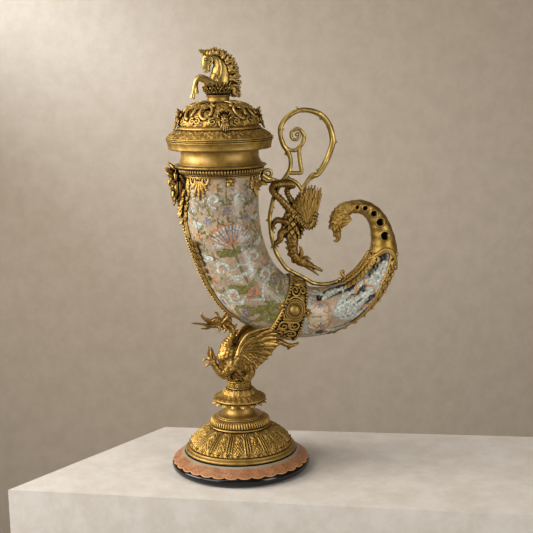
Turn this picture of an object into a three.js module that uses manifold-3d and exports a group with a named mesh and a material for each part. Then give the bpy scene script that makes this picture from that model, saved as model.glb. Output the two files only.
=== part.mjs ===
// A covered horn ewer: a painted porcelain horn in gilt bronze mounts, carried by a winged dragon
// on a round stemmed foot, with a lift-off lid under a rearing horse and a branch handle.
// Millimetres, +Z up. The origin is the centre of the underside, the horn curves in the XZ plane,
// its mouth lies towards -X and its tail towards +X. "Near" is the -Y side and "far" the +Y side.
import * as THREE from "three";
import { mergeVertices } from "three/addons/utils/BufferGeometryUtils.js";
import Module from "manifold-3d";

// Clearances
const SEAT_GAP = 0.3; // left between pieces that seat on each other
const LID_CLEARANCE = 0.6; // radial, between the lid's bezel and the mouth liner
const ROD_CLEARANCE = 0.4; // radial, between the tie rod or stud and what it passes through
const SLIVER = 0.06; // facets thinner than this, left by a cut, are merged away
const ROUND_SIDES = 20; // facets round the horn and each turned piece

// Foot and stem, from the table up
const FELT_RADIUS = 84;
const FELT_THICKNESS = 1.5;
const PLINTH_RADIUS = 93.5;
const PLINTH_EDGE = 10.5; // height of the black rim
const SKIRT_RADIUS = 92;
const SKIRT_RISE = 12.5; // from the plinth's rim up to the foot ring
const SKIRT_THICKNESS = 1.6;
const SCALLOP_COUNT = 32;
const SCALLOP_DEPTH = 2.2;
const FOOT_RADIUS = 75;
const FOOT_RING_HEIGHT = 8;
const DOME_HEIGHT = 25;
const DOME_LEAVES = 16;
const LEAF_RELIEF = 2.2;
const RIB_RELIEF = 1.6; // of the ribs between the dome's leaves
const GADROON_RADIUS = 40.5;
const GADROON_HEIGHT = 14;
const GADROON_COUNT = 20;
const SPOOL_HEIGHT = 15;
const SPOOL_WAIST = 18;
const PAN_RADIUS = 36.5;
const PAN_HEIGHT = 23;
const PAN_LOBES = 10;
const WREATH_RADIUS = 16;
const WREATH_HEIGHT = 11;
const TIE_ROD_RADIUS = 4;
const TIE_ROD_GRIP = 18; // how far the rod reaches into the dragon
const NUT_HEIGHT = 6;
const NUT_WIDTH = 13; // across the flats
const WASHER_RADIUS = 12;
const WASHER_THICKNESS = 1.6;

// Horn: [x, height above the stem, radius] along the centreline, mouth first
const MOUTH_RADIUS = 48.5;
const HORN_WALL = 4;
const HORN_AXIS = [
  [-17.5, 280, MOUTH_RADIUS],
  [-17.5, 242, 49],
  [-15, 210, 47.7],
  [-8, 180, 45.8],
  [4, 148, 44.5],
  [20, 124, 43.7],
  [40, 107, 41.7],
  [67, 94, 38.4],
  [97, 87, 34.4],
  [129, 90, 30.7],
  [159, 103, 27.2],
  [183, 125, 23.9],
  [197, 150, 20.4],
  [201, 169, 17.6],
  [199, 187, 14.9],
  [194, 204, 12.4],
  [185, 217, 10.4],
  [172, 225, 8.8],
  [156, 226, 7.5],
];
// Stations along the centreline where pieces begin and end
const COLLAR_START = 6.45;
const COLLAR_JOINT = 7.0;
const COLLAR_END = 7.6;
const TAIL_END = 13.1;
const TIP_START = 12.6;
const TIP_END = HORN_AXIS.length - 1;
const FRONT_STEPS = 11;
const TAIL_STEPS = 8;
const COLLAR_THICKNESS = 3.2;
const COLLAR_BEADS = 16;
const BEAD_RADIUS = 1.9;
const BOSS_RADIUS = 8;
const BOSS_HEIGHT = 6;
const TIP_SPIGOT = 2.4; // how much slimmer the porcelain is inside the bronze tip
const TIP_HOLES = [
  [14, 4.6],
  [15.1, 4.1],
  [16, 3.2],
  [16.9, 2.6],
  [17.6, 2.2],
]; // [station, radius]
const TIP_HOLE_DEPTH = 4;

// Neck and lid, heights from the porcelain's mouth
const NECK_BAND_RADIUS = 51.5;
const NECK_SKIRT = 5; // how far the band hangs down over the porcelain
const NECK_RING_HEIGHT = 10.5;
const NECK_FLANGE_RADIUS = 60.5;
const NECK_WAIST_RADIUS = 50.5;
const NECK_HEIGHT = 19;
const RIM_RADIUS = 69;
const RIM_HEIGHT = 11.5;
const LINER_WALL = 1.5;
const LINER_DEPTH = 14; // below the porcelain's mouth
const LID_LIP_OVERHANG = 1.5; // of the lid's lip beyond the rim
const LID_LIP_HEIGHT = 5;
const LID_BAND_HEIGHT = 9;
const LID_STEP_RADIUS = 53;
const LID_STEP_HEIGHT = 4.5;
const LID_DOME_HEIGHT = 29;
const LID_WALL = 3;
const LID_MASKS = 4;
const CARTOUCHE_OFFSET = 29; // degrees from a mask to the raised oval on either side of it
const CARTOUCHE_RELIEF = 2.4;
const CARTOUCHE_HALF_WIDTH = 8;
const BEZEL_DEPTH = 13;
const BEZEL_WALL = 1.8;
const SOCKET_RADIUS = 15;
const SOCKET_HEIGHT = 10;
const STUD_RADIUS = 2.5;
const STUD_GRIP = 12; // how far the stud reaches into the horse
const FINIAL_NUT_WIDTH = 9;
const FINIAL_NUT_HEIGHT = 4;

// Figures and trim
const WING_THICKNESS = 2.6;
const SUPPORT_FEATHERS = 7;
const HANGING_FEATHERS = 5;
const MANE_LOCKS = 7;
const CUP_LEAVES = 8;
const STRIP_HALF_WIDTH = 6.5;
const STRIP_HEIGHT = 4.2;
const PENDANT_THICKNESS = 2;
const BRANCH_RADIUS = 2.9;
const ARC_RADIUS = 2.6;

// Heights that follow from the stack
const PLINTH_TOP = FELT_THICKNESS + PLINTH_EDGE;
const FOOT_RING_Z = PLINTH_TOP + SKIRT_RISE;
const DOME_Z = FOOT_RING_Z + FOOT_RING_HEIGHT;
const GADROON_Z = DOME_Z + DOME_HEIGHT;
const SPOOL_Z = GADROON_Z + GADROON_HEIGHT;
const PAN_Z = SPOOL_Z + SPOOL_HEIGHT;
const WREATH_Z = PAN_Z + PAN_HEIGHT;
const STEM_TOP = WREATH_Z + WREATH_HEIGHT;
const ROD_BORE = TIE_ROD_RADIUS + ROD_CLEARANCE;
const STUD_BORE = STUD_RADIUS + ROD_CLEARANCE;
const NUT_POCKET_RADIUS = WASHER_RADIUS + 2;
const NUT_POCKET_DEPTH = NUT_HEIGHT + WASHER_THICKNESS + 2;
const MOUTH_X = HORN_AXIS[0][0];
const MOUTH_Z = HORN_AXIS[0][1];
const NECK_TOP = NECK_RING_HEIGHT + NECK_HEIGHT;
const RIM_TOP = NECK_TOP + RIM_HEIGHT;
const LINER_RADIUS = MOUTH_RADIUS - HORN_WALL - SEAT_GAP;
const NECK_BORE = LINER_RADIUS + SEAT_GAP;
const BEZEL_RADIUS = LINER_RADIUS - LINER_WALL - LID_CLEARANCE;
const LID_LIP_RADIUS = RIM_RADIUS + LID_LIP_OVERHANG;
const LID_STEP_Z = LID_LIP_HEIGHT + LID_BAND_HEIGHT;
const LID_DOME_Z = LID_STEP_Z + LID_STEP_HEIGHT;
const SOCKET_Z = LID_DOME_Z + LID_DOME_HEIGHT;
const HORSE_Z = SOCKET_Z + SOCKET_HEIGHT;

const wasm = await Module();
wasm.setup();

const v3 = (x, y, z) => new THREE.Vector3(x, y, z);
const radians = THREE.MathUtils.degToRad;
const lerp = THREE.MathUtils.lerp;

// Finishes
function finish(color, metalness, roughness) {
  return new THREE.MeshStandardMaterial({ color, metalness, roughness });
}
const gilt = finish(0xb08a3c, 1, 0.34);
const darkGilt = finish(0x8f6c2c, 1, 0.45);
const porcelain = finish(0xc9b9a4, 0, 0.25);
const blackGlaze = finish(0x0c0c0e, 0, 0.12);
const terracotta = finish(0xb2754c, 0, 0.5);
const steel = finish(0x8c8c8a, 1, 0.4);
const felt = finish(0x23372a, 0, 0.95);

// Solids from geometry

// Six times the signed volume of an indexed mesh, negative if its faces point inwards.
function facing(positions, triangles) {
  const [a, b, c] = [v3(), v3(), v3()];
  let sum = 0;
  for (let i = 0; i < triangles.length; i += 3) {
    a.fromArray(positions, 3 * triangles[i]);
    b.fromArray(positions, 3 * triangles[i + 1]);
    c.fromArray(positions, 3 * triangles[i + 2]);
    sum += a.dot(b.cross(c));
  }
  return sum;
}

// A closed geometry as a solid that can be joined and cut.
function solid(geometry) {
  const bare = new THREE.BufferGeometry();
  bare.setAttribute("position", geometry.getAttribute("position"));
  bare.setIndex(geometry.index);
  const merged = mergeVertices(bare, 1e-4);
  const positions = merged.getAttribute("position").array;
  const triangles = [];
  for (let i = 0; i < merged.index.count; i += 3) {
    const [a, b, c] = [0, 1, 2].map((k) => merged.index.getX(i + k));
    if (a !== b && b !== c && c !== a) triangles.push(a, b, c);
  }
  if (facing(positions, triangles) < 0) triangles.reverse();
  return new wasm.Manifold(
    new wasm.Mesh({
      numProp: 3,
      vertProperties: positions,
      triVerts: new Uint32Array(triangles),
    }),
  );
}

const join = (...solids) => solids.reduce((a, b) => a.add(b));
const cut = (body, ...tools) => tools.reduce((a, b) => a.subtract(b), body);

// Cuts a body and keeps its main part, without the crumbs that a close fit leaves.
function trim(body, ...tools) {
  const parts = cut(body, ...tools).decompose();
  return parts.reduce((a, b) => (b.volume() > a.volume() ? b : a));
}

// A named mesh of a solid.
function piece(name, body, material) {
  const mesh = body.simplify(SLIVER).getMesh();
  const positions = new Float32Array(mesh.numVert * 3);
  for (let i = 0; i < mesh.numVert; i++)
    positions.set(mesh.vertProperties.subarray(i * mesh.numProp, i * mesh.numProp + 3), i * 3);
  const geometry = new THREE.BufferGeometry();
  geometry.setAttribute("position", new THREE.BufferAttribute(positions, 3));
  geometry.setIndex(new THREE.BufferAttribute(mesh.triVerts, 1));
  const made = new THREE.Mesh(geometry, material);
  made.name = name;
  return made;
}

// A profile of [radius, height] points turned about Z. It starts and ends on the axis or is closed.
function turned(profile, sides = ROUND_SIDES) {
  const onAxis = profile[0][0] === 0;
  const points = (onAxis ? profile : [...profile, profile[0]]).map(([r, z]) => new THREE.Vector2(r, z));
  return solid(new THREE.LatheGeometry(points, sides).rotateX(Math.PI / 2));
}

// Points of a quarter round or hollow between two profile points; bulge is the share of the chord.
function arc(from, to, bulge, count = 3) {
  const points = [];
  const [dr, dz] = [to[0] - from[0], to[1] - from[1]];
  for (let i = 0; i <= count; i++) {
    const t = i / count;
    const off = 4 * bulge * t * (1 - t);
    points.push([from[0] + dr * t + dz * off, from[1] + dz * t - dr * off]);
  }
  return points;
}

const rod = (radius, z0, z1, sides = 16) =>
  turned([[0, z0], [radius, z0], [radius, z1], [0, z1]], sides);

const hexNut = (width, bore, z0, height) =>
  cut(rod(width / Math.sqrt(3), z0, z0 + height, 6), rod(bore, z0 - 1, z0 + height + 1));

// Skins rings of equally many points. Open rows get end caps; a closed row joins its ends.
function loft(rings, closed = false) {
  const count = rings[0].length;
  const points = rings.flat();
  const index = [];
  const spans = closed ? rings.length : rings.length - 1;
  for (let i = 0; i < spans; i++) {
    const [near, far] = [i * count, ((i + 1) % rings.length) * count];
    for (let j = 0; j < count; j++) {
      const k = (j + 1) % count;
      index.push(near + j, near + k, far + j, near + k, far + k, far + j);
    }
  }
  if (!closed)
    for (const [first, flip] of [[0, true], [(rings.length - 1) * count, false]]) {
      const hub = points.length;
      points.push(points.slice(first, first + count).reduce((a, p) => a.add(p), v3()).divideScalar(count));
      for (let j = 0; j < count; j++) {
        const [a, b] = [first + j, first + ((j + 1) % count)];
        index.push(...(flip ? [hub, b, a] : [hub, a, b]));
      }
    }
  return solid(new THREE.BufferGeometry().setFromPoints(points).setIndex(index));
}

// A limb of [x, y, z, half-width in the XZ plane, half-width across it] stations, smoothly skinned.
function limb(stations, sides = 6, stepsPerSpan = 1) {
  const spine = new THREE.CatmullRomCurve3(stations.map(([x, y, z]) => v3(x, y, z)));
  const girth = new THREE.CatmullRomCurve3(stations.map(([, , , a, b]) => v3(a, b ?? a, 0)));
  const steps = (stations.length - 1) * stepsPerSpan;
  const rings = [];
  for (let i = 0; i <= steps; i++) {
    const [centre, size] = [spine.getPoint(i / steps), girth.getPoint(i / steps)];
    const along = spine.getTangent(i / steps);
    const reference = Math.abs(along.y) > 0.95 ? v3(1, 0, 0) : v3(0, 1, 0);
    const across = reference.addScaledVector(along, -reference.dot(along)).normalize();
    const inPlane = along.clone().cross(across);
    const ring = [];
    for (let j = 0; j < sides; j++) {
      const turn = (2 * Math.PI * j) / sides;
      ring.push(
        centre
          .clone()
          .addScaledVector(inPlane, Math.max(size.x, 0.15) * Math.cos(turn))
          .addScaledVector(across, Math.max(size.y, 0.15) * Math.sin(turn)),
      );
    }
    rings.push(ring);
  }
  return loft(rings);
}

const mirrored = (stations) => stations.map(([x, y, z, ...rest]) => [x, -y, z, ...rest]);
const moved = (stations, [dx, dy, dz]) => stations.map(([x, y, z, ...rest]) => [x + dx, y + dy, z + dz, ...rest]);

// The horn's surface

const hornSpine = new THREE.CatmullRomCurve3(HORN_AXIS.map(([x, z]) => v3(x, 0, z)));
const hornGirth = new THREE.CatmullRomCurve3(HORN_AXIS.map(([, , r], i) => v3(i, r, 0)));

// A point at a station; the angle runs from the outer curve (0) by the near side (90) to the inner (180).
function hornPoint(station, angle, lift, radius) {
  const t = station / (HORN_AXIS.length - 1);
  const along = hornSpine.getTangent(t);
  const outward = v3(along.z, 0, -along.x);
  const reach = (radius ?? hornGirth.getPoint(t).y) + lift;
  return hornSpine
    .getPoint(t)
    .addScaledVector(outward, reach * Math.cos(radians(angle)))
    .addScaledVector(v3(0, -1, 0), reach * Math.sin(radians(angle)));
}

// The horn between two stations as a solid, its surface lifted by a value.
function hornBody(from, to, lift, steps, sides = ROUND_SIDES) {
  const rings = [];
  for (let i = 0; i <= steps; i++) {
    const station = lerp(from, to, i / steps);
    rings.push(Array.from({ length: sides }, (_, j) => hornPoint(station, (360 * j) / sides, lift)));
  }
  return loft(rings);
}

// A strip or leaf seated on the horn. spread(u) is its half-width in mm, rise(u, v) its height,
// with u from 0 to 1 along it and v from -1 to 1 across it.
function hornSlab({ from, to, steps, across = 4, angle, spread, rise, lift = SEAT_GAP }) {
  const rings = [];
  for (let i = 0; i <= steps; i++) {
    const u = i / steps;
    const station = lerp(from, to, u);
    const t = station / (HORN_AXIS.length - 1);
    const half = THREE.MathUtils.radToDeg(spread(u) / hornGirth.getPoint(t).y);
    const row = (raise) =>
      Array.from({ length: across + 1 }, (_, k) => {
        const v = (2 * k) / across - 1;
        return hornPoint(station, angle + v * half, lift + (raise ? rise(u, v) : 0));
      });
    rings.push([...row(true), ...row(false).reverse()]);
  }
  return loft(rings);
}

// Foot and stem

function feltPad() {
  return turned([[0, 0], [FELT_RADIUS, 0], [FELT_RADIUS, FELT_THICKNESS], [0, FELT_THICKNESS]]);
}

// The cone that the plinth rises in, under the skirt, from the rim to the foot ring.
const coneAt = (z) => lerp(SKIRT_RADIUS, FOOT_RADIUS + 1, (z - PLINTH_TOP) / SKIRT_RISE);

function plinth() {
  const top = FOOT_RING_Z - SEAT_GAP;
  const shell = turned([
    [ROD_BORE, FELT_THICKNESS],
    [PLINTH_RADIUS - 4, FELT_THICKNESS],
    ...arc([PLINTH_RADIUS - 3, FELT_THICKNESS + 0.6], [PLINTH_RADIUS - 1, PLINTH_TOP], 0.14),
    [coneAt(PLINTH_TOP) - SKIRT_THICKNESS - SEAT_GAP, PLINTH_TOP],
    [coneAt(top) - SKIRT_THICKNESS - SEAT_GAP, top],
    [ROD_BORE, top],
  ]);
  return cut(shell, rod(NUT_POCKET_RADIUS, FELT_THICKNESS - 1, FELT_THICKNESS + NUT_POCKET_DEPTH, 24));
}

// A conical ring whose lower edge is cut in scallops.
function skirt() {
  const perScallop = 2;
  const count = SCALLOP_COUNT * perScallop;
  const z0 = PLINTH_TOP + SEAT_GAP;
  const z1 = FOOT_RING_Z - SEAT_GAP;
  const rings = [];
  for (let i = 0; i < count; i++) {
    const turn = (2 * Math.PI * i) / count;
    const phase = (i % perScallop) / perScallop;
    const notch = SCALLOP_DEPTH * (1 - Math.sin(Math.PI * phase));
    const lower = z0 + notch * 0.75;
    const at = (r, z) => v3(r * Math.cos(turn), r * Math.sin(turn), z);
    rings.push([
      at(coneAt(lower), lower),
      at(coneAt(z1), z1),
      at(coneAt(z1) - SKIRT_THICKNESS, z1),
      at(coneAt(lower) - SKIRT_THICKNESS, lower),
    ]);
  }
  return loft(rings, true);
}

function footRing() {
  const z = FOOT_RING_Z;
  const h = FOOT_RING_HEIGHT;
  return turned([
    [ROD_BORE, z],
    [FOOT_RADIUS - 1, z],
    ...arc([FOOT_RADIUS - 1.2, z + 0.4], [FOOT_RADIUS - 1.6, z + h * 0.6], 0.28),
    [FOOT_RADIUS - 3.4, z + h * 0.62],
    ...arc([FOOT_RADIUS - 3.6, z + h * 0.66], [FOOT_RADIUS - 6, z + h], 0.22, 2),
    [ROD_BORE, z + h],
  ]);
}

const domeLow = FOOT_RADIUS - 6.5;
const domeHigh = GADROON_RADIUS - 1;
// Radius of the dome's surface, u from its foot to its top.
const domeRadius = (u) => lerp(domeLow, domeHigh, u ** 1.55);

// Across one panel of the dome: place from -1 to 1, height of the rib and of the leaf there.
const DOME_PANEL = [[-1, 1, 0], [-0.66, 0, 0.1], [-0.34, 0, 0.75], [0, 0, 1], [0.34, 0, 0.75], [0.66, 0, 0.1]];

// The domed foot with a ring of leaves raised on it between ribs.
function footDome() {
  const z = DOME_Z;
  const rows = 5;
  const rings = [];
  for (let i = 0; i < DOME_LEAVES; i++) {
    for (const [place, rib, leaf] of DOME_PANEL) {
      const turn = (2 * Math.PI * (i + 0.5 + place / 2)) / DOME_LEAVES;
      const at = (r, h) => v3(r * Math.cos(turn), r * Math.sin(turn), z + h);
      const ring = [at(ROD_BORE, 0)];
      for (let k = 0; k <= rows; k++) {
        const u = k / rows;
        const inner = k > 0 && k < rows ? 1 : 0;
        const relief = inner * (RIB_RELIEF * rib + LEAF_RELIEF * leaf * Math.sin(Math.PI * Math.min(1, 0.15 + 0.85 * u)));
        ring.push(at(domeRadius(u) + relief * 0.7, DOME_HEIGHT * u + relief * 0.6 * (k < rows - 1 ? 1 : 0)));
      }
      ring.push(at(ROD_BORE, DOME_HEIGHT));
      rings.push(ring);
    }
  }
  return loft(rings, true);
}

function gadroonRing() {
  const perRib = 2;
  const count = GADROON_COUNT * perRib;
  const z = GADROON_Z;
  const band = GADROON_HEIGHT * 0.36;
  const topRadius = SPOOL_WAIST + 14;
  const rings = [];
  for (let i = 0; i < count; i++) {
    const turn = (2 * Math.PI * i) / count;
    const rib = i % perRib ? 0.6 : -1.2;
    const at = (r, h) => v3(r * Math.cos(turn), r * Math.sin(turn), z + h);
    rings.push([
      at(ROD_BORE, 0),
      at(GADROON_RADIUS, 0),
      at(GADROON_RADIUS - 1.2, band),
      at(GADROON_RADIUS - 0.6 + rib, band + 1.6),
      at(lerp(GADROON_RADIUS, topRadius, 0.3) + rib, lerp(band, GADROON_HEIGHT, 0.65)),
      at(topRadius, GADROON_HEIGHT),
      at(ROD_BORE, GADROON_HEIGHT),
    ]);
  }
  return loft(rings, true);
}

function stemSpool() {
  const z = SPOOL_Z;
  return turned([
    [ROD_BORE, z],
    [SPOOL_WAIST + 13, z],
    [SPOOL_WAIST + 13, z + 1.4],
    ...arc([SPOOL_WAIST + 12, z + 1.8], [SPOOL_WAIST, z + SPOOL_HEIGHT - 2], -0.24, 4),
    [SPOOL_WAIST + 0.6, z + SPOOL_HEIGHT],
    [ROD_BORE, z + SPOOL_HEIGHT],
  ]);
}

// A flared pan whose hanging edge is cut in lobed leaves.
function leafPan() {
  const perLobe = 3;
  const count = PAN_LOBES * perLobe;
  const z = PAN_Z;
  const rings = [];
  for (let i = 0; i < count; i++) {
    const turn = (2 * Math.PI * i) / count;
    const lobe = Math.sin((Math.PI * (i % perLobe)) / perLobe);
    const at = (r, h) => v3(r * Math.cos(turn), r * Math.sin(turn), z + h);
    const tip = PAN_RADIUS - 2.5 + 2.5 * lobe;
    rings.push([
      at(ROD_BORE, 0),
      at(SPOOL_WAIST + 0.6, 0),
      at(SPOOL_WAIST + 3, PAN_HEIGHT * 0.3),
      at(tip - 3, PAN_HEIGHT * (0.34 - 0.16 * lobe)),
      at(tip, PAN_HEIGHT * (0.4 - 0.16 * lobe)),
      at(tip - 1.5, PAN_HEIGHT * 0.56),
      at(lerp(tip, WREATH_RADIUS, 0.45) + lobe, PAN_HEIGHT * 0.66),
      at(WREATH_RADIUS + 6 + 0.8 * lobe, PAN_HEIGHT * 0.78),
      at(WREATH_RADIUS + 0.5, PAN_HEIGHT),
      at(ROD_BORE, PAN_HEIGHT),
    ]);
  }
  return loft(rings, true);
}

// A short neck wound round with twisted leaves.
function wreathCollar() {
  const count = 20;
  const rows = 4;
  const rings = [];
  for (let i = 0; i < count; i++) {
    const turn = (2 * Math.PI * i) / count;
    const ring = [v3(ROD_BORE * Math.cos(turn), ROD_BORE * Math.sin(turn), WREATH_Z)];
    for (let k = 0; k <= rows; k++) {
      const u = k / rows;
      const leaf = k > 0 && k < rows ? 1.4 * Math.max(0, Math.sin(10 * turn + 5 * u)) : 0;
      const r = WREATH_RADIUS - 1.4 * Math.sin(Math.PI * u) + leaf;
      ring.push(v3(r * Math.cos(turn), r * Math.sin(turn), WREATH_Z + WREATH_HEIGHT * u));
    }
    ring.push(v3(ROD_BORE * Math.cos(turn), ROD_BORE * Math.sin(turn), STEM_TOP));
    rings.push(ring);
  }
  return loft(rings, true);
}

const washerTop = FELT_THICKNESS + NUT_POCKET_DEPTH - SEAT_GAP;
const washerBottom = washerTop - WASHER_THICKNESS;

function tieWasher() {
  return cut(rod(WASHER_RADIUS, washerBottom, washerTop, 24), rod(ROD_BORE, 0, washerTop + 1));
}

const tieNut = () => hexNut(NUT_WIDTH, ROD_BORE, washerBottom - NUT_HEIGHT, NUT_HEIGHT);
const tieRod = () => rod(TIE_ROD_RADIUS, washerBottom - NUT_HEIGHT, STEM_TOP + TIE_ROD_GRIP);

// A curved plate with the given [x, z] outline; bend(x) is how far it stands off the XZ plane.
function plate(outline, thickness, bend, side) {
  const shape = new THREE.Shape(outline.map(([x, z]) => new THREE.Vector2(x, z)));
  const geometry = new THREE.ExtrudeGeometry(shape, { depth: thickness, bevelEnabled: false });
  geometry.rotateX(Math.PI / 2);
  const position = geometry.getAttribute("position");
  for (let i = 0; i < position.count; i++)
    position.setY(i, (side === "near" ? 1 : -1) * (position.getY(i) - bend(position.getX(i))));
  geometry.deleteAttribute("normal");
  geometry.deleteAttribute("uv");
  return solid(mergeVertices(geometry));
}

// Feather tips and the notches between them, fanned about a shoulder; reach(t) is a tip's distance.
function featherEdge([x, z], count, fromAngle, toAngle, reach) {
  return Array.from({ length: 2 * count - 1 }, (_, i) => {
    const t = i / (2 * count - 2);
    const turn = radians(lerp(fromAngle, toAngle, t));
    const far = reach(t) * (i % 2 ? 0.84 : 1);
    return [x + far * Math.cos(turn), z + far * Math.sin(turn)];
  });
}

// Support dragon, heights from the top of the stem

// What the dragon and the trim keep clear of: the porcelain and the collar round it.
const frontStations = [0, COLLAR_JOINT - 0.01, FRONT_STEPS];
const tailStations = [COLLAR_JOINT + 0.01, TIP_START - 0.1, TAIL_STEPS];
const hornShape = (lift, [from, to, steps]) => hornBody(from, to, lift, steps);
const hornKeepOut = join(hornShape(SEAT_GAP, frontStations), hornShape(SEAT_GAP, tailStations));
const collarKeepOut = hornBody(
  COLLAR_START - 0.06,
  COLLAR_END + 0.06,
  COLLAR_THICKNESS + BEAD_RADIUS + SEAT_GAP,
  6,
);

const DRAGON_TRUNK = [
  [0, 0, 0, WREATH_RADIUS - 0.5, WREATH_RADIUS - 0.5],
  [0, 0, 7, 16, 15],
  [-1, 0, 18, 22, 16],
  [-3, 0, 29, 25, 17],
  [-9, 0, 40, 18, 14],
  [-14, 0, 47, 11, 10],
  [-12.5, 0, 55, 6.5, 7],
  [-10, 0, 63, 4.8, 5.5],
  [-11, 0, 71, 5, 5.4],
  [-18, 0, 76.5, 6.5, 6],
  [-28, 0, 79, 7, 6.6],
  [-37, 0, 80.5, 4.6, 4.8],
  [-43, 0, 85, 2.2, 2.8],
  [-46.5, 0, 95, 0.4, 0.4],
];

function dragonBody() {
  const trunk = limb(DRAGON_TRUNK, 8);
  const jaw = limb([
    [-24, 0, 75, 3.5, 4.5],
    [-38, 0, 75.5, 2.4, 3.4],
    [-50, 0, 79.5, 1.4, 2],
    [-61, 0, 81.5, 0.3, 0.4],
  ], 6);
  const crest = limb([[-19, 0, 79, 3, 2], [-25, 0, 85, 2, 1.6], [-28, 0, 90, 0.3, 0.3]], 4);
  const nape = limb([[-13, 0, 74, 3, 3], [-8, 0, 79, 2.6, 2.8], [-4.5, 0, 84, 2, 2.6]], 5);
  const ear = [[-20, -5, 80, 2, 1.6], [-17, -8, 85, 1.6, 1.2], [-12, -9.5, 88, 0.3, 0.3]];
  const foreleg = [
    [-6, -12, 19, 9, 6],
    [-18, -15, 9, 6, 5],
    [-26, -15.5, 6, 4.2, 4],
    [-32, -14.5, 15, 3.2, 3.2],
    [-37, -13.5, 26, 3, 2.8],
  ];
  const claws = [
    [[-37, -13.5, 25, 2.6, 2.4], [-40.5, -13, 34, 2, 1.8], [-38.5, -12.5, 44, 0.3, 0.3]],
    [[-37, -13.5, 26, 2.4, 2.2], [-42.5, -14, 25.5, 1.8, 1.6], [-48, -14.5, 22.5, 0.3, 0.3]],
  ];
  const tail = limb([
    [14, 0, 20, 8, 9],
    [28, 0, 25, 6.2, 7],
    [42, 0, 38, 4.8, 5],
    [55, 0, 48, 3.6, 3.8],
    [64, 0, 46, 2.8, 2.8],
    [71, 0, 42.5, 2.3, 2.3],
    [83, 0, 44.5, 0.3, 0.3],
  ]);
  const saddle = limb([[22, 0, 30, 13, 11], [30, 0, 48, 12, 11], [36, 0, 68, 12, 11]], 6);
  const raw = join(
    trunk, jaw, crest, nape, tail, saddle,
    limb(ear, 4), limb(mirrored(ear), 4),
    limb(foreleg, 5), limb(mirrored(foreleg), 5),
    ...claws.map((c) => limb(c, 4)),
    ...claws.map((c) => limb(mirrored(c), 4)),
  );
  const rodHole = rod(ROD_BORE, -1, TIE_ROD_GRIP + 1);
  return trim(raw, rodHole, rod(60, -20, SEAT_GAP), hornKeepOut, collarKeepOut, stripKeepOut());
}

// One of a pair of spread wings: a leading bone over two layers of feathers.
function supportWing(side) {
  const bend = (x) => 18.6 + 0.0088 * Math.max(0, x - 12) ** 2;
  const lead = [[15, 24], [6, 38], [5, 52], [11, 62], [26, 66.5], [40, 69.5], [51, 72.5]];
  const girth = [5, 5, 4, 3.4, 3, 2.6, 1.4];
  const bone = lead.map(([x, z], i) => [x, -bend(x) - 1.2, z, girth[i], 2.4]);
  const edge = featherEdge([8, 38], SUPPORT_FEATHERS, 38, -48, (t) => 26 + 30 * (1 - t) ** 1.6);
  const blade = plate([...lead.slice(0, -1), ...edge], WING_THICKNESS, bend, side);
  const coverts = plate(
    [...lead.slice(0, -2), ...featherEdge([8, 38], SUPPORT_FEATHERS - 1, 34, -40, (t) => 18 + 19 * (1 - t) ** 1.6)],
    WING_THICKNESS * 1.6, bend, side,
  );
  const raw = join(blade, coverts, limb(side === "near" ? bone : mirrored(bone)));
  return trim(raw, hornKeepOut, collarKeepOut, dragonKeepOut);
}

// Horn

function hornFront() {
  const outer = hornShape(0, frontStations);
  const inner = hornBody(0, COLLAR_JOINT - 0.25, -HORN_WALL, 7);
  const mouth = rod(MOUTH_RADIUS - HORN_WALL, -2, 2, ROUND_SIDES);
  const lip = new THREE.Matrix4().makeTranslation(MOUTH_X, 0, MOUTH_Z);
  return cut(outer, inner, mouth.transform(lip.elements));
}

function hornTail() {
  const bore = hornBody(COLLAR_JOINT, TIP_START - 0.5, -HORN_WALL, 4, 8);
  const straight = hornShape(0, tailStations);
  const spigot = hornBody(TIP_START - 0.4, TAIL_END, -TIP_SPIGOT, 1, 12);
  return cut(join(straight, spigot), bore);
}

// How far along the horn a bead reaches, in stations, with its clearance.
const collarLength = hornSpine
  .getPoint(COLLAR_START / (HORN_AXIS.length - 1))
  .distanceTo(hornSpine.getPoint(COLLAR_END / (HORN_AXIS.length - 1)));
const beadStations = ((BEAD_RADIUS + 4 * SEAT_GAP) * (COLLAR_END - COLLAR_START)) / collarLength;

// The band over the joint of the two porcelain parts, with a seat for each boss.
function hornCollar() {
  const band = cut(
    hornBody(COLLAR_START + beadStations, COLLAR_END - beadStations, COLLAR_THICKNESS * 0.6, 3),
    hornBody(COLLAR_START, COLLAR_END, SEAT_GAP, 3),
  );
  return cut(band, ...bossSeats);
}

// A string of beads round one edge of the collar.
function beadWire(station) {
  const rings = [];
  for (let i = 0; i < COLLAR_BEADS * 2; i++) {
    const r = i % 2 ? BEAD_RADIUS * 0.62 : BEAD_RADIUS;
    const angle = (360 * i) / (COLLAR_BEADS * 2);
    const middle = SEAT_GAP + BEAD_RADIUS;
    const centre = hornPoint(station, angle, middle);
    const out = hornPoint(station, angle, middle + 1).sub(centre);
    const along = hornSpine.getTangent(station / (HORN_AXIS.length - 1));
    rings.push(
      Array.from({ length: 4 }, (_, j) => {
        const turn = (2 * Math.PI * j) / 4;
        return centre.clone().addScaledVector(out, r * Math.cos(turn)).addScaledVector(along, r * Math.sin(turn));
      }),
    );
  }
  return loft(rings, true);
}

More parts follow.
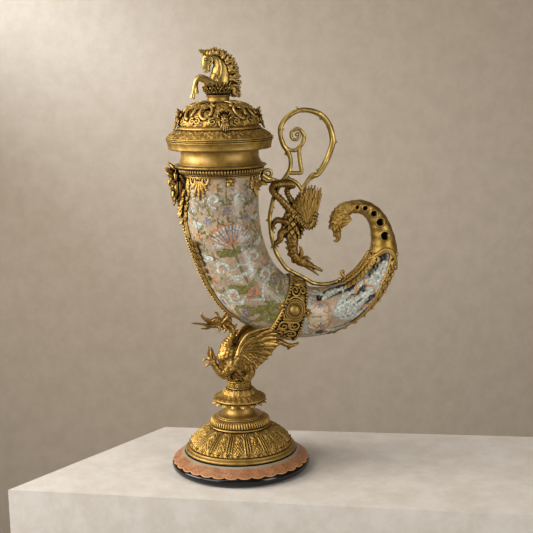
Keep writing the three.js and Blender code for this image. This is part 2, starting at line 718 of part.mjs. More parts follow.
// A round cabochon in a stepped setting, on the collar's side at the given angle.
function collarBoss(angle, grow = 0) {
  const profile = [
    [0, -1.2 - grow],
    [BOSS_RADIUS + 3 + grow, -1.2 - grow],
    [BOSS_RADIUS + 3 + grow, 1.6 + grow],
    [BOSS_RADIUS + 0.5, 1.8 + grow],
    ...arc([BOSS_RADIUS, 2 + grow], [BOSS_RADIUS * 0.45, BOSS_HEIGHT + grow], 0.14, 3),
    [0, BOSS_HEIGHT + 0.8 + grow],
  ];
  const seat = hornPoint(COLLAR_JOINT + 0.02, angle, COLLAR_THICKNESS);
  const out = hornPoint(COLLAR_JOINT + 0.02, angle, COLLAR_THICKNESS + 1).sub(seat);
  const turn = new THREE.Matrix4().compose(
    seat,
    new THREE.Quaternion().setFromUnitVectors(v3(0, 0, 1), out),
    v3(1, 1, 1),
  );
  return turned(profile, 12).transform(turn.elements);
}
const BOSS_ANGLES = { near: 98, far: -98 };
const bossSeats = Object.values(BOSS_ANGLES).map((angle) => collarBoss(angle, SEAT_GAP));

// The bronze tip: a curved shaft with round pockets, ending in an eagle's head.
function tip() {
  const shaft = hornBody(TIP_START, TIP_END, 0.2, 8, 12);
  const end = hornPoint(TIP_END, 0, 0, 0);
  const head = limb(moved([
    [1, 0, 0, 7.6, 7.4],
    [-9, 0, -4, 9.4, 8],
    [-18, 0, -14, 9.6, 8.2],
    [-21, 0, -25, 8, 7],
    [-18, 0, -34, 5, 5],
    [-17, 0, -40, 3.2, 3.4],
    [-20, 0, -45, 2, 2.2],
    [-25, 0, -44, 0.3, 0.4],
  ], [end.x, 0, end.z]), 8);
  const crest = limb(moved([
    [-12, 0, -16, 4, 3.4],
    [-4, 0, -18, 2.4, 2.2],
    [4, 0, -16.5, 0.3, 0.3],
  ], [end.x, 0, end.z]), 5);
  const socket = hornBody(TIP_START - 0.2, TAIL_END + 0.05, SEAT_GAP - TIP_SPIGOT, 1, 12);
  const pockets = TIP_HOLES.flatMap(([station, radius]) =>
    [90, -90].map((angle) => {
      const mouth = hornPoint(station, angle, 2);
      const floor = hornPoint(station, angle, -TIP_HOLE_DEPTH);
      return limb([[...mouth.toArray(), radius, radius], [...floor.toArray(), radius, radius]], 8);
    }),
  );
  return cut(join(shaft, head, crest), socket, ...pockets);
}

// Strips and leaves on the horn

const STRIP_FROM = 0.75;
const STRIP_TO = 4.95;
const stripTooth = (u) => (Math.round(u * 20) % 2 ? 0.75 : 1);

function frontStrip() {
  const ridge = (v) => 0.35 + 0.65 * (1 - v * v);
  const rail = hornSlab({
    from: STRIP_FROM, to: STRIP_TO, steps: 20, across: 2, angle: 0,
    spread: (u) => STRIP_HALF_WIDTH * (1 - 0.25 * u),
    rise: (u, v) => STRIP_HEIGHT * ridge(v) * stripTooth(u),
  });
  const leaf = hornSlab({
    from: 2.55, to: 3.75, steps: 5, angle: 0,
    spread: (u) => 2 + 7.5 * Math.sin(Math.PI * Math.min(1, 0.15 + u * 0.85)),
    rise: (u, v) => 1 + 6 * Math.sin(Math.PI * (0.1 + 0.85 * u)) * (1 - 0.7 * v * v),
  });
  return join(rail, leaf);
}

const stripKeepOut = () =>
  hornSlab({
    from: STRIP_TO - 0.6, to: STRIP_TO + 0.05, steps: 5, angle: 0, lift: 0,
    spread: () => STRIP_HALF_WIDTH + 2,
    rise: () => STRIP_HEIGHT + 2 * SEAT_GAP,
  });

// A row of graded leaf bosses along the tail's outer curve.
function tailStrip() {
  return hornSlab({
    from: COLLAR_END + 1.0, to: TIP_START - 0.1, steps: 20, across: 2, angle: 0,
    spread: (u) => (2.5 + 5.5 * u) * (Math.round(u * 20) % 2 ? 1 : 0.7),
    rise: (u, v) => (0.9 + (1.2 + 1.4 * u) * (1 - v * v)) * (Math.round(u * 20) % 2 ? 1 : 0.55),
  });
}

// A long leaf on the tail's inner curve, where the handle's arc runs out.
function tailLeaf() {
  return hornSlab({
    from: 9.9, to: TIP_START - 0.1, steps: 10, angle: 180, lift: 3 * SEAT_GAP,
    spread: (u) => (4 + 15 * Math.sin(Math.PI * Math.min(0.62, 0.12 + 0.6 * u))) * (Math.round(u * 9) % 2 ? 1 : 0.86),
    rise: (u, v) => 0.9 + 2.6 * Math.sin(Math.PI * (0.25 + 0.5 * u)) * (1 - v * v),
  });
}

// A grotesque mask over the head of the front strip, wrapped in leaves, with a swept crest.
function frontMask() {
  const seat = hornPoint(0.35, 0, 0);
  const part = (stations, sides = 5) => limb(moved(stations, seat.toArray()), sides);
  const core = part([
    [-2, 0, 22, 2, 3],
    [-8, 0, 10, 8.5, 11],
    [-9, 0, -4, 9.5, 12],
    [-5, 0, -22, 7, 8],
    [-0.5, 0, -42, 2, 3],
  ], 8);
  const crest = part([[-6, 0, 14, 4.5, 5], [-13, 0, 22, 2.8, 3], [-21, 0, 34, 0.4, 0.4]]);
  const nose = part([[-14, 0, 9, 2, 2], [-18, 0, 0, 3, 2.8], [-13, 0, -4, 2.2, 2.4]], 4);
  const chin = part([[-13, 0, -8, 3.4, 5], [-15, 0, -15, 3, 3.6], [-11, 0, -26, 0.6, 0.8]]);
  const curl = [[-6, -9, 14, 3, 3], [-5, -12, 4, 5, 4], [-4, -10.5, -8, 4, 3.4], [-3, -7, -18, 1, 1]];
  const atMouth = new THREE.Matrix4().makeTranslation(MOUTH_X, 0, MOUTH_Z);
  const neckKeepOut = rod(NECK_FLANGE_RADIUS + SEAT_GAP, -NECK_SKIRT - SEAT_GAP, RIM_TOP, ROUND_SIDES);
  const railKeepOut = hornSlab({
    from: STRIP_FROM - 0.05, to: 2.4, steps: 6, across: 2, angle: 0, lift: 0,
    spread: () => STRIP_HALF_WIDTH + 2 * SEAT_GAP,
    rise: () => STRIP_HEIGHT + 2 * SEAT_GAP,
  });
  return trim(
    join(core, crest, nose, chin, part(curl), part(mirrored(curl))),
    hornKeepOut,
    neckKeepOut.transform(atMouth.elements),
    railKeepOut,
  );
}

// A drop of leaves hung under the neck ring: it spreads to a lobed fan and runs to a point.
function pendant(angle, drop, width) {
  const mouthSpan = HORN_AXIS[0][1] - HORN_AXIS[1][1];
  const steps = 5;
  return hornSlab({
    from: (NECK_SKIRT + 2 * SEAT_GAP) / mouthSpan, to: (NECK_SKIRT + drop) / mouthSpan, steps, angle,
    spread: (u) => (width / 2) * Math.max(0.08, Math.sin(Math.PI * (0.3 + 0.68 * u))) * (Math.round(u * steps) % 2 ? 1 : 0.8),
    rise: (u, v) => PENDANT_THICKNESS * (1.1 - 0.5 * Math.abs(v)),
  });
}

const PENDANTS = [
  ["palmette", 42, 24, 22],
  ["floret", 97, 14, 13],
  ["root_leaf", 146, 26, 14],
]; // [name, angle from the front strip, drop, width]

// Neck, heights from the porcelain's mouth

function neckRing() {
  const shell = NECK_BAND_RADIUS;
  const flangeZ = NECK_RING_HEIGHT - 5.5;
  const bore = MOUTH_RADIUS + 2 * SEAT_GAP;
  return turned([
    [bore, -NECK_SKIRT],
    [shell, -NECK_SKIRT],
    [shell, -0.6],
    [shell + 5.6, flangeZ * 0.3],
    [shell + 5.6, flangeZ],
    [NECK_FLANGE_RADIUS - 1, flangeZ + 0.4],
    [NECK_FLANGE_RADIUS, flangeZ + 2.4],
    [NECK_FLANGE_RADIUS - 1.4, flangeZ + 4.4],
    [NECK_WAIST_RADIUS + 5, NECK_RING_HEIGHT],
    [NECK_BORE, NECK_RING_HEIGHT],
    [NECK_BORE, SEAT_GAP],
    [bore, SEAT_GAP],
  ]);
}

// The hollow-curved neck with the broad rim that the lid sits on.
function neckMount() {
  const z = NECK_RING_HEIGHT;
  return turned([
    [NECK_BORE, z],
    [NECK_WAIST_RADIUS + 4, z],
    ...arc([NECK_WAIST_RADIUS + 4, z + 0.8], [NECK_WAIST_RADIUS + 0.4, NECK_TOP - 1], -0.2, 4),
    [NECK_WAIST_RADIUS + 0.4, NECK_TOP],
    [RIM_RADIUS - 3, NECK_TOP + 0.4],
    [RIM_RADIUS - 0.8, NECK_TOP + 2],
    ...arc([RIM_RADIUS - 0.8, NECK_TOP + 2.2], [RIM_RADIUS - 0.2, RIM_TOP - 1], 0.04, 2),
    [RIM_RADIUS - 1.2, RIM_TOP],
    [LINER_RADIUS + 5.3, RIM_TOP],
    [LINER_RADIUS + 5.3, RIM_TOP - LINER_WALL - SEAT_GAP],
    [NECK_BORE, RIM_TOP - LINER_WALL - SEAT_GAP],
  ]);
}

// A thin sleeve through neck and porcelain mouth, hung by its flange in the rim.
function mouthLiner() {
  return turned([
    [LINER_RADIUS - LINER_WALL, -LINER_DEPTH],
    [LINER_RADIUS, -LINER_DEPTH],
    [LINER_RADIUS, RIM_TOP - LINER_WALL],
    [LINER_RADIUS + 5, RIM_TOP - LINER_WALL],
    [LINER_RADIUS + 5, RIM_TOP],
    [LINER_RADIUS - LINER_WALL, RIM_TOP],
  ]);
}

// Lid, heights from the top of the rim

function lidBase() {
  const bore = BEZEL_RADIUS + SEAT_GAP;
  return turned([
    [bore, SEAT_GAP],
    [LID_LIP_RADIUS - 1.2, SEAT_GAP],
    ...arc([LID_LIP_RADIUS - 1, SEAT_GAP + 0.3], [LID_LIP_RADIUS - 2.4, LID_LIP_HEIGHT], 0.25, 3),
    ...arc([LID_LIP_RADIUS - 3, LID_LIP_HEIGHT + 0.5], [LID_STEP_RADIUS + 1, LID_STEP_Z], -0.05, 2),
    [LID_STEP_RADIUS, LID_STEP_Z],
    ...arc([LID_STEP_RADIUS, LID_STEP_Z + 0.4], [LID_STEP_RADIUS - 1.4, LID_DOME_Z], 0.2, 2),
    [LID_STEP_RADIUS - LID_WALL - 3, LID_DOME_Z],
    [LID_STEP_RADIUS - LID_WALL - 3, LID_STEP_Z],
    [bore, LID_LIP_HEIGHT],
  ]);
}

const lidDomeFoot = LID_STEP_RADIUS - 2;
// The dome's outer profile, u from its foot to the socket.
const lidDomePoint = (u, inset = 0) => [
  lerp(lidDomeFoot - inset, SOCKET_RADIUS + 1, u ** 1.7),
  LID_DOME_Z + (LID_DOME_HEIGHT - inset) * Math.sin((Math.PI / 2) * u) ** 0.92,
];
const domeSpan = Array.from({ length: 6 }, (_, i) => i / 5);

// A raised oval on the lid's dome at the given angle.
function cartouche(angle) {
  const girth = [[0.17, 0.4], [0.32, 1], [0.48, 1], [0.63, 0.4]];
  const raised = limb(
    girth.map(([u, share]) => {
      const [r, z] = lidDomePoint(u);
      return [r, 0, z, CARTOUCHE_RELIEF * share, CARTOUCHE_HALF_WIDTH * share];
    }),
    6,
  );
  return raised.transform(new THREE.Matrix4().makeRotationZ(radians(angle)).elements);
}

// The domed top of the lid, open below and bored for the finial's stud.
function lidDome() {
  const outer = domeSpan.map((u) => lidDomePoint(u));
  const inner = [1, 0.7, 0.4, 0].map((u) => lidDomePoint(u, LID_WALL));
  const shell = turned([...outer, [STUD_BORE, SOCKET_Z], [STUD_BORE, SOCKET_Z - LID_WALL], ...inner]);
  const turns = Array.from({ length: LID_MASKS }, (_, i) => (360 * i) / LID_MASKS);
  return join(shell, ...turns.flatMap((t) => [cartouche(t - CARTOUCHE_OFFSET), cartouche(t + CARTOUCHE_OFFSET)]));
}

// The lid's base and dome as one body, for what sits on them.
const lidKeepOut = turned([
  [0, 0],
  [LID_LIP_RADIUS, 0],
  [LID_STEP_RADIUS + 2 * SEAT_GAP, LID_DOME_Z + SEAT_GAP],
  ...domeSpan.map((u) => lidDomePoint(u)).map(([r, z]) => [r + SEAT_GAP, z + SEAT_GAP]),
  [0, SOCKET_Z + SEAT_GAP],
]);

// A horned mask on the lid's dome, facing outwards at the given angle.
function lidMask(angle) {
  const [r, z] = lidDomePoint(0.32);
  const part = (stations, sides = 4) => limb(moved(stations, [r, 0, z]), sides);
  const face = part([[-1, 0, 10, 2, 3.4], [3, 0, 4, 5, 7], [4.5, 0, -5, 4.4, 6], [4.4, 0, -14, 1, 1.2]], 6);
  const nose = part([[5.4, 0, 5, 1.8, 1.6], [9.6, 0, -2, 2, 2]]);
  const horn = [[2.5, -4, 7, 2.2, 2.2], [7, -7, 8.6, 1.6, 1.6], [12, -9, 6.5, 0.3, 0.3]];
  const raw = join(face, nose, part(horn), part(mirrored(horn)));
  const turn = new THREE.Matrix4().makeRotationZ(radians(angle));
  return trim(raw.transform(turn.elements), lidKeepOut);
}

// The sleeve that centres the lid in the mouth.
function lidBezel() {
  return turned([
    [BEZEL_RADIUS - BEZEL_WALL, -BEZEL_DEPTH],
    [BEZEL_RADIUS - 0.5, -BEZEL_DEPTH],
    [BEZEL_RADIUS, -BEZEL_DEPTH + 1.5],
    [BEZEL_RADIUS, LID_LIP_HEIGHT - 0.6],
    [BEZEL_RADIUS - BEZEL_WALL, LID_LIP_HEIGHT - 0.6],
  ]);
}

function finialSocket() {
  const z = SOCKET_Z + SEAT_GAP;
  return turned([
    [STUD_BORE, z],
    [SOCKET_RADIUS + 1, z],
    [SOCKET_RADIUS, z + 1.4],
    ...arc([SOCKET_RADIUS - 0.3, z + 1.8], [SOCKET_RADIUS - 0.2, HORSE_Z - 2.6], -0.05, 2),
    ...arc([SOCKET_RADIUS + 0.6, HORSE_Z - 2.4], [SOCKET_RADIUS + 0.4, HORSE_Z - SEAT_GAP], 0.4, 2),
    [STUD_BORE, HORSE_Z - SEAT_GAP],
  ], 20);
}

const finialNutTop = SOCKET_Z - LID_WALL - SEAT_GAP;
const finialNut = () =>
  hexNut(FINIAL_NUT_WIDTH, STUD_BORE, finialNutTop - FINIAL_NUT_HEIGHT, FINIAL_NUT_HEIGHT);
const finialStud = () => rod(STUD_RADIUS, finialNutTop - FINIAL_NUT_HEIGHT - 1, HORSE_Z + STUD_GRIP, 12);

// A rearing half-horse that rises out of a cup of leaves.
function horse() {
  const z = HORSE_Z;
  const part = (stations, sides) => limb(moved(stations, [0, 0, z]), sides);
  const trunk = part([
    [1, 0, 1, 13, 12],
    [4, 0, 13, 14.5, 12],
    [6, 0, 25, 13.5, 9.6],
    [4.5, 0, 37, 10.6, 7],
    [0, 0, 46, 9, 5.8],
    [-7, 0, 51.5, 7.6, 5.5],
    [-14, 0, 48.5, 6.4, 5.2],
    [-16.5, 0, 40, 5, 4.4],
    [-14.5, 0, 31, 3.4, 3.3],
    [-12.5, 0, 27.5, 2, 2.4],
  ], 8);
  const ear = [[-13, -3, 52, 2.4, 1.6], [-24, -3.6, 57, 0.4, 0.4]];
  const foreleg = [
    [0, -7, 13, 6, 5],
    [-13, -8, 20.5, 4.2, 3.6],
    [-28, -8, 26, 3, 2.8],
    [-34, -7, 13, 2, 2],
    [-33.5, -7, 4, 2, 2],
    [-35.5, -7, -2, 2.8, 2.4],
  ];
  const locks = Array.from({ length: MANE_LOCKS }, (_, i) => {
    const t = i / (MANE_LOCKS - 1);
    const side = i % 2 ? 2.6 : -2.6;
    const [x, y] = [lerp(-11, 20, t ** 1.15), lerp(56, 12, t ** 1.9)];
    const lean = radians(lerp(104, -12, t));
    const reach = lerp(5, 11, t);
    return part([
      [x - 3 * Math.cos(lean), side * 0.4, y - 3 * Math.sin(lean), 5, 3.4],
      [x + reach * 0.55 * Math.cos(lean), side, y + reach * 0.55 * Math.sin(lean), 3.4, 2.8],
      [x + reach * Math.cos(lean - 0.5), side * 1.6, y + reach * Math.sin(lean - 0.5), 0.5, 0.5],
    ], 4);
  });
  const raw = join(
    leafCup(z), trunk,
    part(ear, 4), part(mirrored(ear), 4),
    part(foreleg, 5), part(moved(mirrored(foreleg), [1.5, 0, 1.5]), 5),
    ...locks,
  );
  return cut(raw, rod(STUD_BORE, z - 5, z + STUD_GRIP + 1, 12), rod(SOCKET_RADIUS + 2, z - 9, z, ROUND_SIDES));
}

// The cup of curling leaves at the horse's foot, swept out behind it.
function leafCup(z) {
  const count = 2 * CUP_LEAVES;
  const rings = Array.from({ length: count }, (_, i) => {
    const turn = (2 * Math.PI * i) / count;
    const lobe = i % 2 ? 1 : 0;
    const back = Math.max(0, Math.cos(turn)) ** 2;
    const at = (r, h) => v3(r * Math.cos(turn), r * Math.sin(turn), z + h);
    return [
      at(STUD_RADIUS, 0),
      at(SOCKET_RADIUS - 0.5, 0),
      at(16 + 3.5 * lobe + 11 * back, 3 - back),
      at(17 + 3 * lobe + 13 * back, 6),
      at(12 + 2 * lobe, 8),
      at(STUD_RADIUS, 9),
    ];
  });
  return loft(rings, true);
}

// Handle, in the XZ plane, measured from its root on the neck band

const ROOT_X = MOUTH_X + NECK_BAND_RADIUS + SEAT_GAP;
const ROOT_Z = MOUTH_Z - NECK_SKIRT * 0.5;
const fromRoot = (path) => path.map(([x, z, r, y]) => [ROOT_X + x, y ?? 0, ROOT_Z + z, r]);

const BRANCH = [
  [2.4, -4, 4.2], [10, -9, 3.4], [20, -12.5, 3], [28, -14.5, 3], [34, -8, 2.8], [40, 1, 2.7], [41, 14, 2.8], [38, 24, 3],
  [32, 34, 3], [28, 47, 3], [29, 57, 3], [37, 69, 3], [47, 75.5, 3], [58, 78, 3.1], [71, 76.5, 3.3], [83, 71, 3.6],
  [92, 60, 3.8], [97, 47, 3.9], [98, 35, 3.9], [93, 20, 3.8], [86, 5, 3.6], [77, -6.5, 3.4], [71, -8, 3.8],
  [64, -14.5, 2.7], [57.5, -23, 2.6], [55.5, -36, 2.6],
]; // [x, z, radius]
const SECOND_STRAND = [[29, -14, 2.6], [35, -11, 2.5], [43, -13, 2.5], [50, -18, 2.4], [55.5, -26, 2.4]];
const ROOT_VOLUTE = [[4, -5, 3], [9, -2, 2.6], [13.5, 1.5, 2.3], [13, 6, 2], [9, 6.5, 1.8], [8.5, 3, 1.4]];

function handleBranch() {
  const raw = join(
    limb(fromRoot(BRANCH), 5),
    limb(fromRoot(SECOND_STRAND), 5),
    limb(fromRoot(ROOT_VOLUTE), 5),
  );
  const bandKeepOut = rod(NECK_BAND_RADIUS + SEAT_GAP, -NECK_SKIRT - 2, NECK_RING_HEIGHT, ROUND_SIDES);
  const flangeKeepOut = rod(NECK_FLANGE_RADIUS + SEAT_GAP, -0.6, NECK_RING_HEIGHT, ROUND_SIDES);
  const atMouth = new THREE.Matrix4().makeTranslation(MOUTH_X, 0, MOUTH_Z);
  return cut(raw, bandKeepOut.transform(atMouth.elements), flangeKeepOut.transform(atMouth.elements), hornKeepOut);
}

const branchKeepOut = join(
  limb(fromRoot(BRANCH.map(([x, z, r]) => [x, z, r + SEAT_GAP])), 5),
  limb(fromRoot(SECOND_STRAND.map(([x, z, r]) => [x, z, r + SEAT_GAP])), 5),
);

// The scroll inside the branch's loop, with its stirrup-shaped strut.
function handleScroll() {
  const volute = Array.from({ length: 13 }, (_, i) => {
    const t = i / 12;
    const turn = radians(-75 + 560 * t);
    const reach = 8.8 * (1 - 0.86 * t);
    return [50.5 + reach * Math.cos(turn), 46.5 + reach * Math.sin(turn), lerp(2.4, 1.3, t)];
  });
  const stem = [[35, 30, 2.6], [41, 26.5, 2.6], [48, 26.5, 2.5], [53, 30, 2.5], [58, 36, 2.4], [59.6, 43, 2.3], [57, 50, 2.2]];
  const strut = [[53, 30, 2.6], [53, 18, 2.6], [54.2, 8, 2.6], [55.5, 0, 2.6], [55, -3.4, 2.6], [48, -3.6, 2.3], [39, -3, 2.3]];
  const raw = join(
    limb(fromRoot(stem), 5), limb(fromRoot(strut), 5),
    limb(fromRoot(volute.filter(([x, z]) => Math.hypot(x - 50.5, z - 46.5) < 8.6)), 4),
  );
  return trim(raw, branchKeepOut);
}

const ARC_UPPER = [
  [25.5, -18.5, 3], [16.5, -39, ARC_RADIUS], [12.4, -58, ARC_RADIUS], [12.4, -73, ARC_RADIUS], [15, -92, ARC_RADIUS],
  [21, -111, ARC_RADIUS],
]; // [x, z, radius]

// The long rod from the branch's root down the horn's inner curve to the tail leaf.
function handleArc() {
  const onHorn = (station, lift) => {
    const p = hornPoint(station, 180, lift);
    return [p.x, 0, p.z, ARC_RADIUS];
  };
  const overCollar = COLLAR_THICKNESS + BEAD_RADIUS + ARC_RADIUS + SEAT_GAP * 2;
  const path = [
    ...fromRoot(ARC_UPPER),
    onHorn(COLLAR_START, overCollar + 1),
    onHorn(COLLAR_JOINT, overCollar),
    onHorn(COLLAR_END, overCollar),
    onHorn(COLLAR_END + 0.9, ARC_RADIUS + 2),
    onHorn(9.75, ARC_RADIUS + 0.6),
  ];
  return trim(limb(path, 6, 2), branchKeepOut, hornKeepOut, collarKeepOut);
}

// The dragon that hangs head down in the handle, its tail looped under the branch.
const HANG = [
  [54, -37, 3.4, 4], [49, -48, 9, 8], [45, -60, 13, 9.4], [43.5, -71, 14, 9.4], [41.5, -82, 10.5, 8.2], [42, -92, 7.6, 7],
  [42, -104, 6.4, 6], [44.5, -114, 5.8, 5.6], [51, -121, 5.8, 5.8], [59, -124, 5, 5], [68, -128.5, 2.8, 3.2],
  [82, -136, 0.8, 1.2],
]; // [x, z, half-width, half-depth]

function hangingDragon() {
  const at = (x, y, z, a, b) => [ROOT_X + x, y, ROOT_Z + z, a, b ?? a];
  const trunk = limb(HANG.map(([x, z, a, b]) => at(x, 0, z, a, b)), 8);
  const jaw = limb([at(58, 0, -127, 2.6, 3.4), at(67, 0, -133.5, 1.8, 2.4), at(77, 0, -142.5, 0.4, 0.6)], 6);
  const ear = [at(52, -4, -117, 2.4, 1.8), at(54, -5.5, -109, 1.8, 1.4), at(53.5, -5, -101.5, 0.3)];
  const horn = [at(55, -3.4, -119.5, 2, 1.8), at(61, -4.4, -116.5, 1.6, 1.4), at(66, -4.6, -119, 0.3)];
  const foreleg = [at(37, -6, -68, 4.4, 3.4), at(29, -6.4, -65, 3, 2.6), at(21, -4.8, -63, 2.2, 2), at(15, -3, -72, 1.6, 1.6)];
  const hindleg = [at(35, -4, -76, 3.6, 3.2), at(25, -4.6, -80, 3, 2.6), at(24, -4.6, -90, 2, 1.8), at(17.8, -2.6, -96, 1.6, 1.6)];
  const tailLoop = limb([
    at(42, -3, -54, 5, 4.4), at(33, -4.5, -44, 4, 3.6), at(23, -6.5, -33, 3.4, 3.2), at(15.5, -7, -24, 3.2, 3.2), at(15.5, -6, -18.5, 3.1, 3.1),
    at(22, -5.6, -17.6, 3.1, 3.1), at(32, -5.4, -18.6, 3.1, 3.1), at(41, -5.6, -19.4, 3, 3), at(45, -2, -21.5, 2.8, 2.8), at(43.5, 3, -29, 2.8, 2.8), at(45.5, 2.4, -40, 3.2, 3.2),
    at(49, 0, -48, 4, 4),
  ], 5);
  const raw = join(
    trunk, jaw, tailLoop,
    ...[ear, horn, foreleg, hindleg].flatMap((s) => [limb(s, 4), limb(mirrored(s), 4)]),
  );
  return trim(raw, branchKeepOut, arcKeepOut(), hornKeepOut);
}

const arcKeepOut = () =>
  limb(fromRoot([...ARC_UPPER, [28, -123, ARC_RADIUS]].map(([x, z, r]) => [x, z, r + SEAT_GAP])), 6, 2);

// A folded wing of the hanging dragon, raised beside the branch.
function hangingWing(side) {
  const bend = (x) => 9.6 + 0.3 * Math.min(24, Math.max(0, x - ROOT_X - 46));
  const lead = [[47, -58], [55, -70], [65, -78], [74, -76]].map(([x, z]) => [ROOT_X + x, ROOT_Z + z]);
  const girth = [6, 5, 4.4, 3];
  const bone = lead.map(([x, z], i) => [x, -bend(x) - 1.2, z, girth[i], 2.6]);
  const edge = featherEdge([ROOT_X + 62, ROOT_Z - 74], HANGING_FEATHERS, 61, 96, (t) => 55 - 22 * t ** 1.5);
  const blade = plate([...lead, ...edge], WING_THICKNESS, bend, side);
  const raw = join(blade, limb(side === "near" ? bone : mirrored(bone)));
  return trim(raw, hangKeepOut, branchKeepOut);
}

const hangKeepOut = limb(
  HANG.map(([x, z, a, b]) => [ROOT_X + x, 0, ROOT_Z + z, a + SEAT_GAP, b + SEAT_GAP]),
  8,
);
const WING_CLEARANCE = 0.4; // between the support dragon's chest and its wings
const dragonKeepOut = limb(
  DRAGON_TRUNK.slice(0, 6).map(([x, y, z, a, b]) => [x, y, z, a + WING_CLEARANCE, b + WING_CLEARANCE]),
  8,
);

// Assembly

const ewer = new THREE.Group();
ewer.add(
  piece("base_felt", feltPad(), felt),
  piece("plinth", plinth(), blackGlaze),
  piece("scalloped_skirt", skirt(), terracotta),
  piece("foot_ring", footRing(), gilt),
  piece("foot_dome", footDome(), darkGilt),
  piece("gadroon_ring", gadroonRing(), gilt),
  piece("stem_spool", stemSpool(), gilt),
  piece("leaf_pan", leafPan(), darkGilt),
  piece("wreath_collar", wreathCollar(), darkGilt),
  piece("tie_rod", tieRod(), steel),
  piece("tie_washer", tieWasher(), steel),
  piece("tie_nut", tieNut(), steel),
);

const vessel = new THREE.Group();
vessel.position.z = STEM_TOP;
vessel.add(
  piece("support_dragon", dragonBody(), darkGilt),
  piece("support_wing_near", supportWing("near"), darkGilt),
  piece("support_wing_far", supportWing("far"), darkGilt),
  piece("horn_front", hornFront(), porcelain),
  piece("horn_tail", hornTail(), porcelain),
  piece("horn_collar", hornCollar(), darkGilt),
  piece("collar_beads_front", beadWire(COLLAR_START), gilt),
  piece("collar_beads_rear", beadWire(COLLAR_END), gilt),
  piece("collar_boss_near", collarBoss(BOSS_ANGLES.near), gilt),
  piece("collar_boss_far", collarBoss(BOSS_ANGLES.far), gilt),
  piece("eagle_tip", tip(), gilt),
  piece("front_strip", frontStrip(), gilt),
  piece("tail_strip", tailStrip(), gilt),
  piece("tail_leaf", tailLeaf(), gilt),
  piece("front_mask", frontMask(), darkGilt),
  piece("handle_branch", handleBranch(), gilt),
  piece("handle_scroll", handleScroll(), gilt),
  piece("handle_arc", handleArc(), gilt),
  piece("hanging_dragon", hangingDragon(), darkGilt),
  piece("hanging_wing_near", hangingWing("near"), darkGilt),
  piece("hanging_wing_far", hangingWing("far"), darkGilt),
);
for (const [name, angle, drop, width] of PENDANTS) {
  vessel.add(piece(`${name}_near`, pendant(angle, drop, width), gilt));
  vessel.add(piece(`${name}_far`, pendant(-angle, drop, width), gilt));
}
ewer.add(vessel);

const neck = new THREE.Group();
neck.position.set(MOUTH_X, 0, MOUTH_Z);
neck.add(
  piece("neck_ring", neckRing(), gilt),
  piece("neck_mount", neckMount(), gilt),
  piece("mouth_liner", mouthLiner(), gilt),
);
vessel.add(neck);

const lid = new THREE.Group();
lid.position.z = RIM_TOP;
lid.add(
  piece("lid_base", lidBase(), gilt),
  piece("lid_dome", lidDome(), darkGilt),
  piece("lid_bezel", lidBezel(), gilt),
  piece("finial_socket", finialSocket(), gilt),
  piece("finial_stud", finialStud(), steel),
  piece("finial_nut", finialNut(), steel),
  piece("horse_finial", horse(), gilt),
);
for (let i = 0; i < LID_MASKS; i++)
  lid.add(piece(`lid_mask_${i + 1}`, lidMask((360 * i) / LID_MASKS), darkGilt));
neck.add(lid);

export default ewer;
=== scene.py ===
"""A covered horn ewer: painted porcelain in gilt bronze mounts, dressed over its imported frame.

Shapes are drawn in millimetres and shrunk to metres when a piece is finished. +Z is up, the horn
curves in the XZ plane, -Y is the near side.
"""
import math

import bmesh
import bpy
import numpy as np
from mathutils import Matrix, Vector


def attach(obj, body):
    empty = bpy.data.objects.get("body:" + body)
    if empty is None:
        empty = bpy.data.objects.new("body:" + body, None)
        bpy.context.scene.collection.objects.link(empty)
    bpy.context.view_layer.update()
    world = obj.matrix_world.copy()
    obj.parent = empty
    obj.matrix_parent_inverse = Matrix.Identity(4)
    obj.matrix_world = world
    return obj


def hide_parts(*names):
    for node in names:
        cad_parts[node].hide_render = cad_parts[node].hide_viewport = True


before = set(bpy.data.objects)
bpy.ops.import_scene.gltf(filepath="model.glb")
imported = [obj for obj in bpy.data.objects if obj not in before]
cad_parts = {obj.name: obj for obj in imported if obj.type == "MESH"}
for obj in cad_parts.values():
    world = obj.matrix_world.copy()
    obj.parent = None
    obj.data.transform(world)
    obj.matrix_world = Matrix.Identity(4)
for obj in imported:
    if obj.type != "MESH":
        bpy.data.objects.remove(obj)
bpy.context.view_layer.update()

MM = 0.001
TAU = 2 * math.pi
TIP_RADIUS = 0.35  # limbs end no thinner than this
WELD = 1e-3  # points closer than this are joined

# Heights and places of the solid parts, in millimetres
FOOT_RING_Z = 24.5
DOME_Z = 32.5
DOME_RISE = 25.0
GADROON_Z = 57.5
SPOOL_Z = 71.5
PAN_Z = 86.5
WREATH_Z = 109.5
STEM_TOP = 120.5
MOUTH_X = -17.5
MOUTH_Z = 400.5
RIM_TOP = 441.5
LID_DOME_Z = 460.0
LID_DOME_RISE = 29.0
SOCKET_Z = 489.0
HORSE_Z = 499.0
ROOT_X = 34.3
ROOT_Z = 398.0

# Where each figure and the handle are measured from
DRAGON_FOOT = (0, 0, STEM_TOP)
HORSE_FOOT = (MOUTH_X, 0, HORSE_Z)
HANDLE_ROOT = (ROOT_X, 0, ROOT_Z)

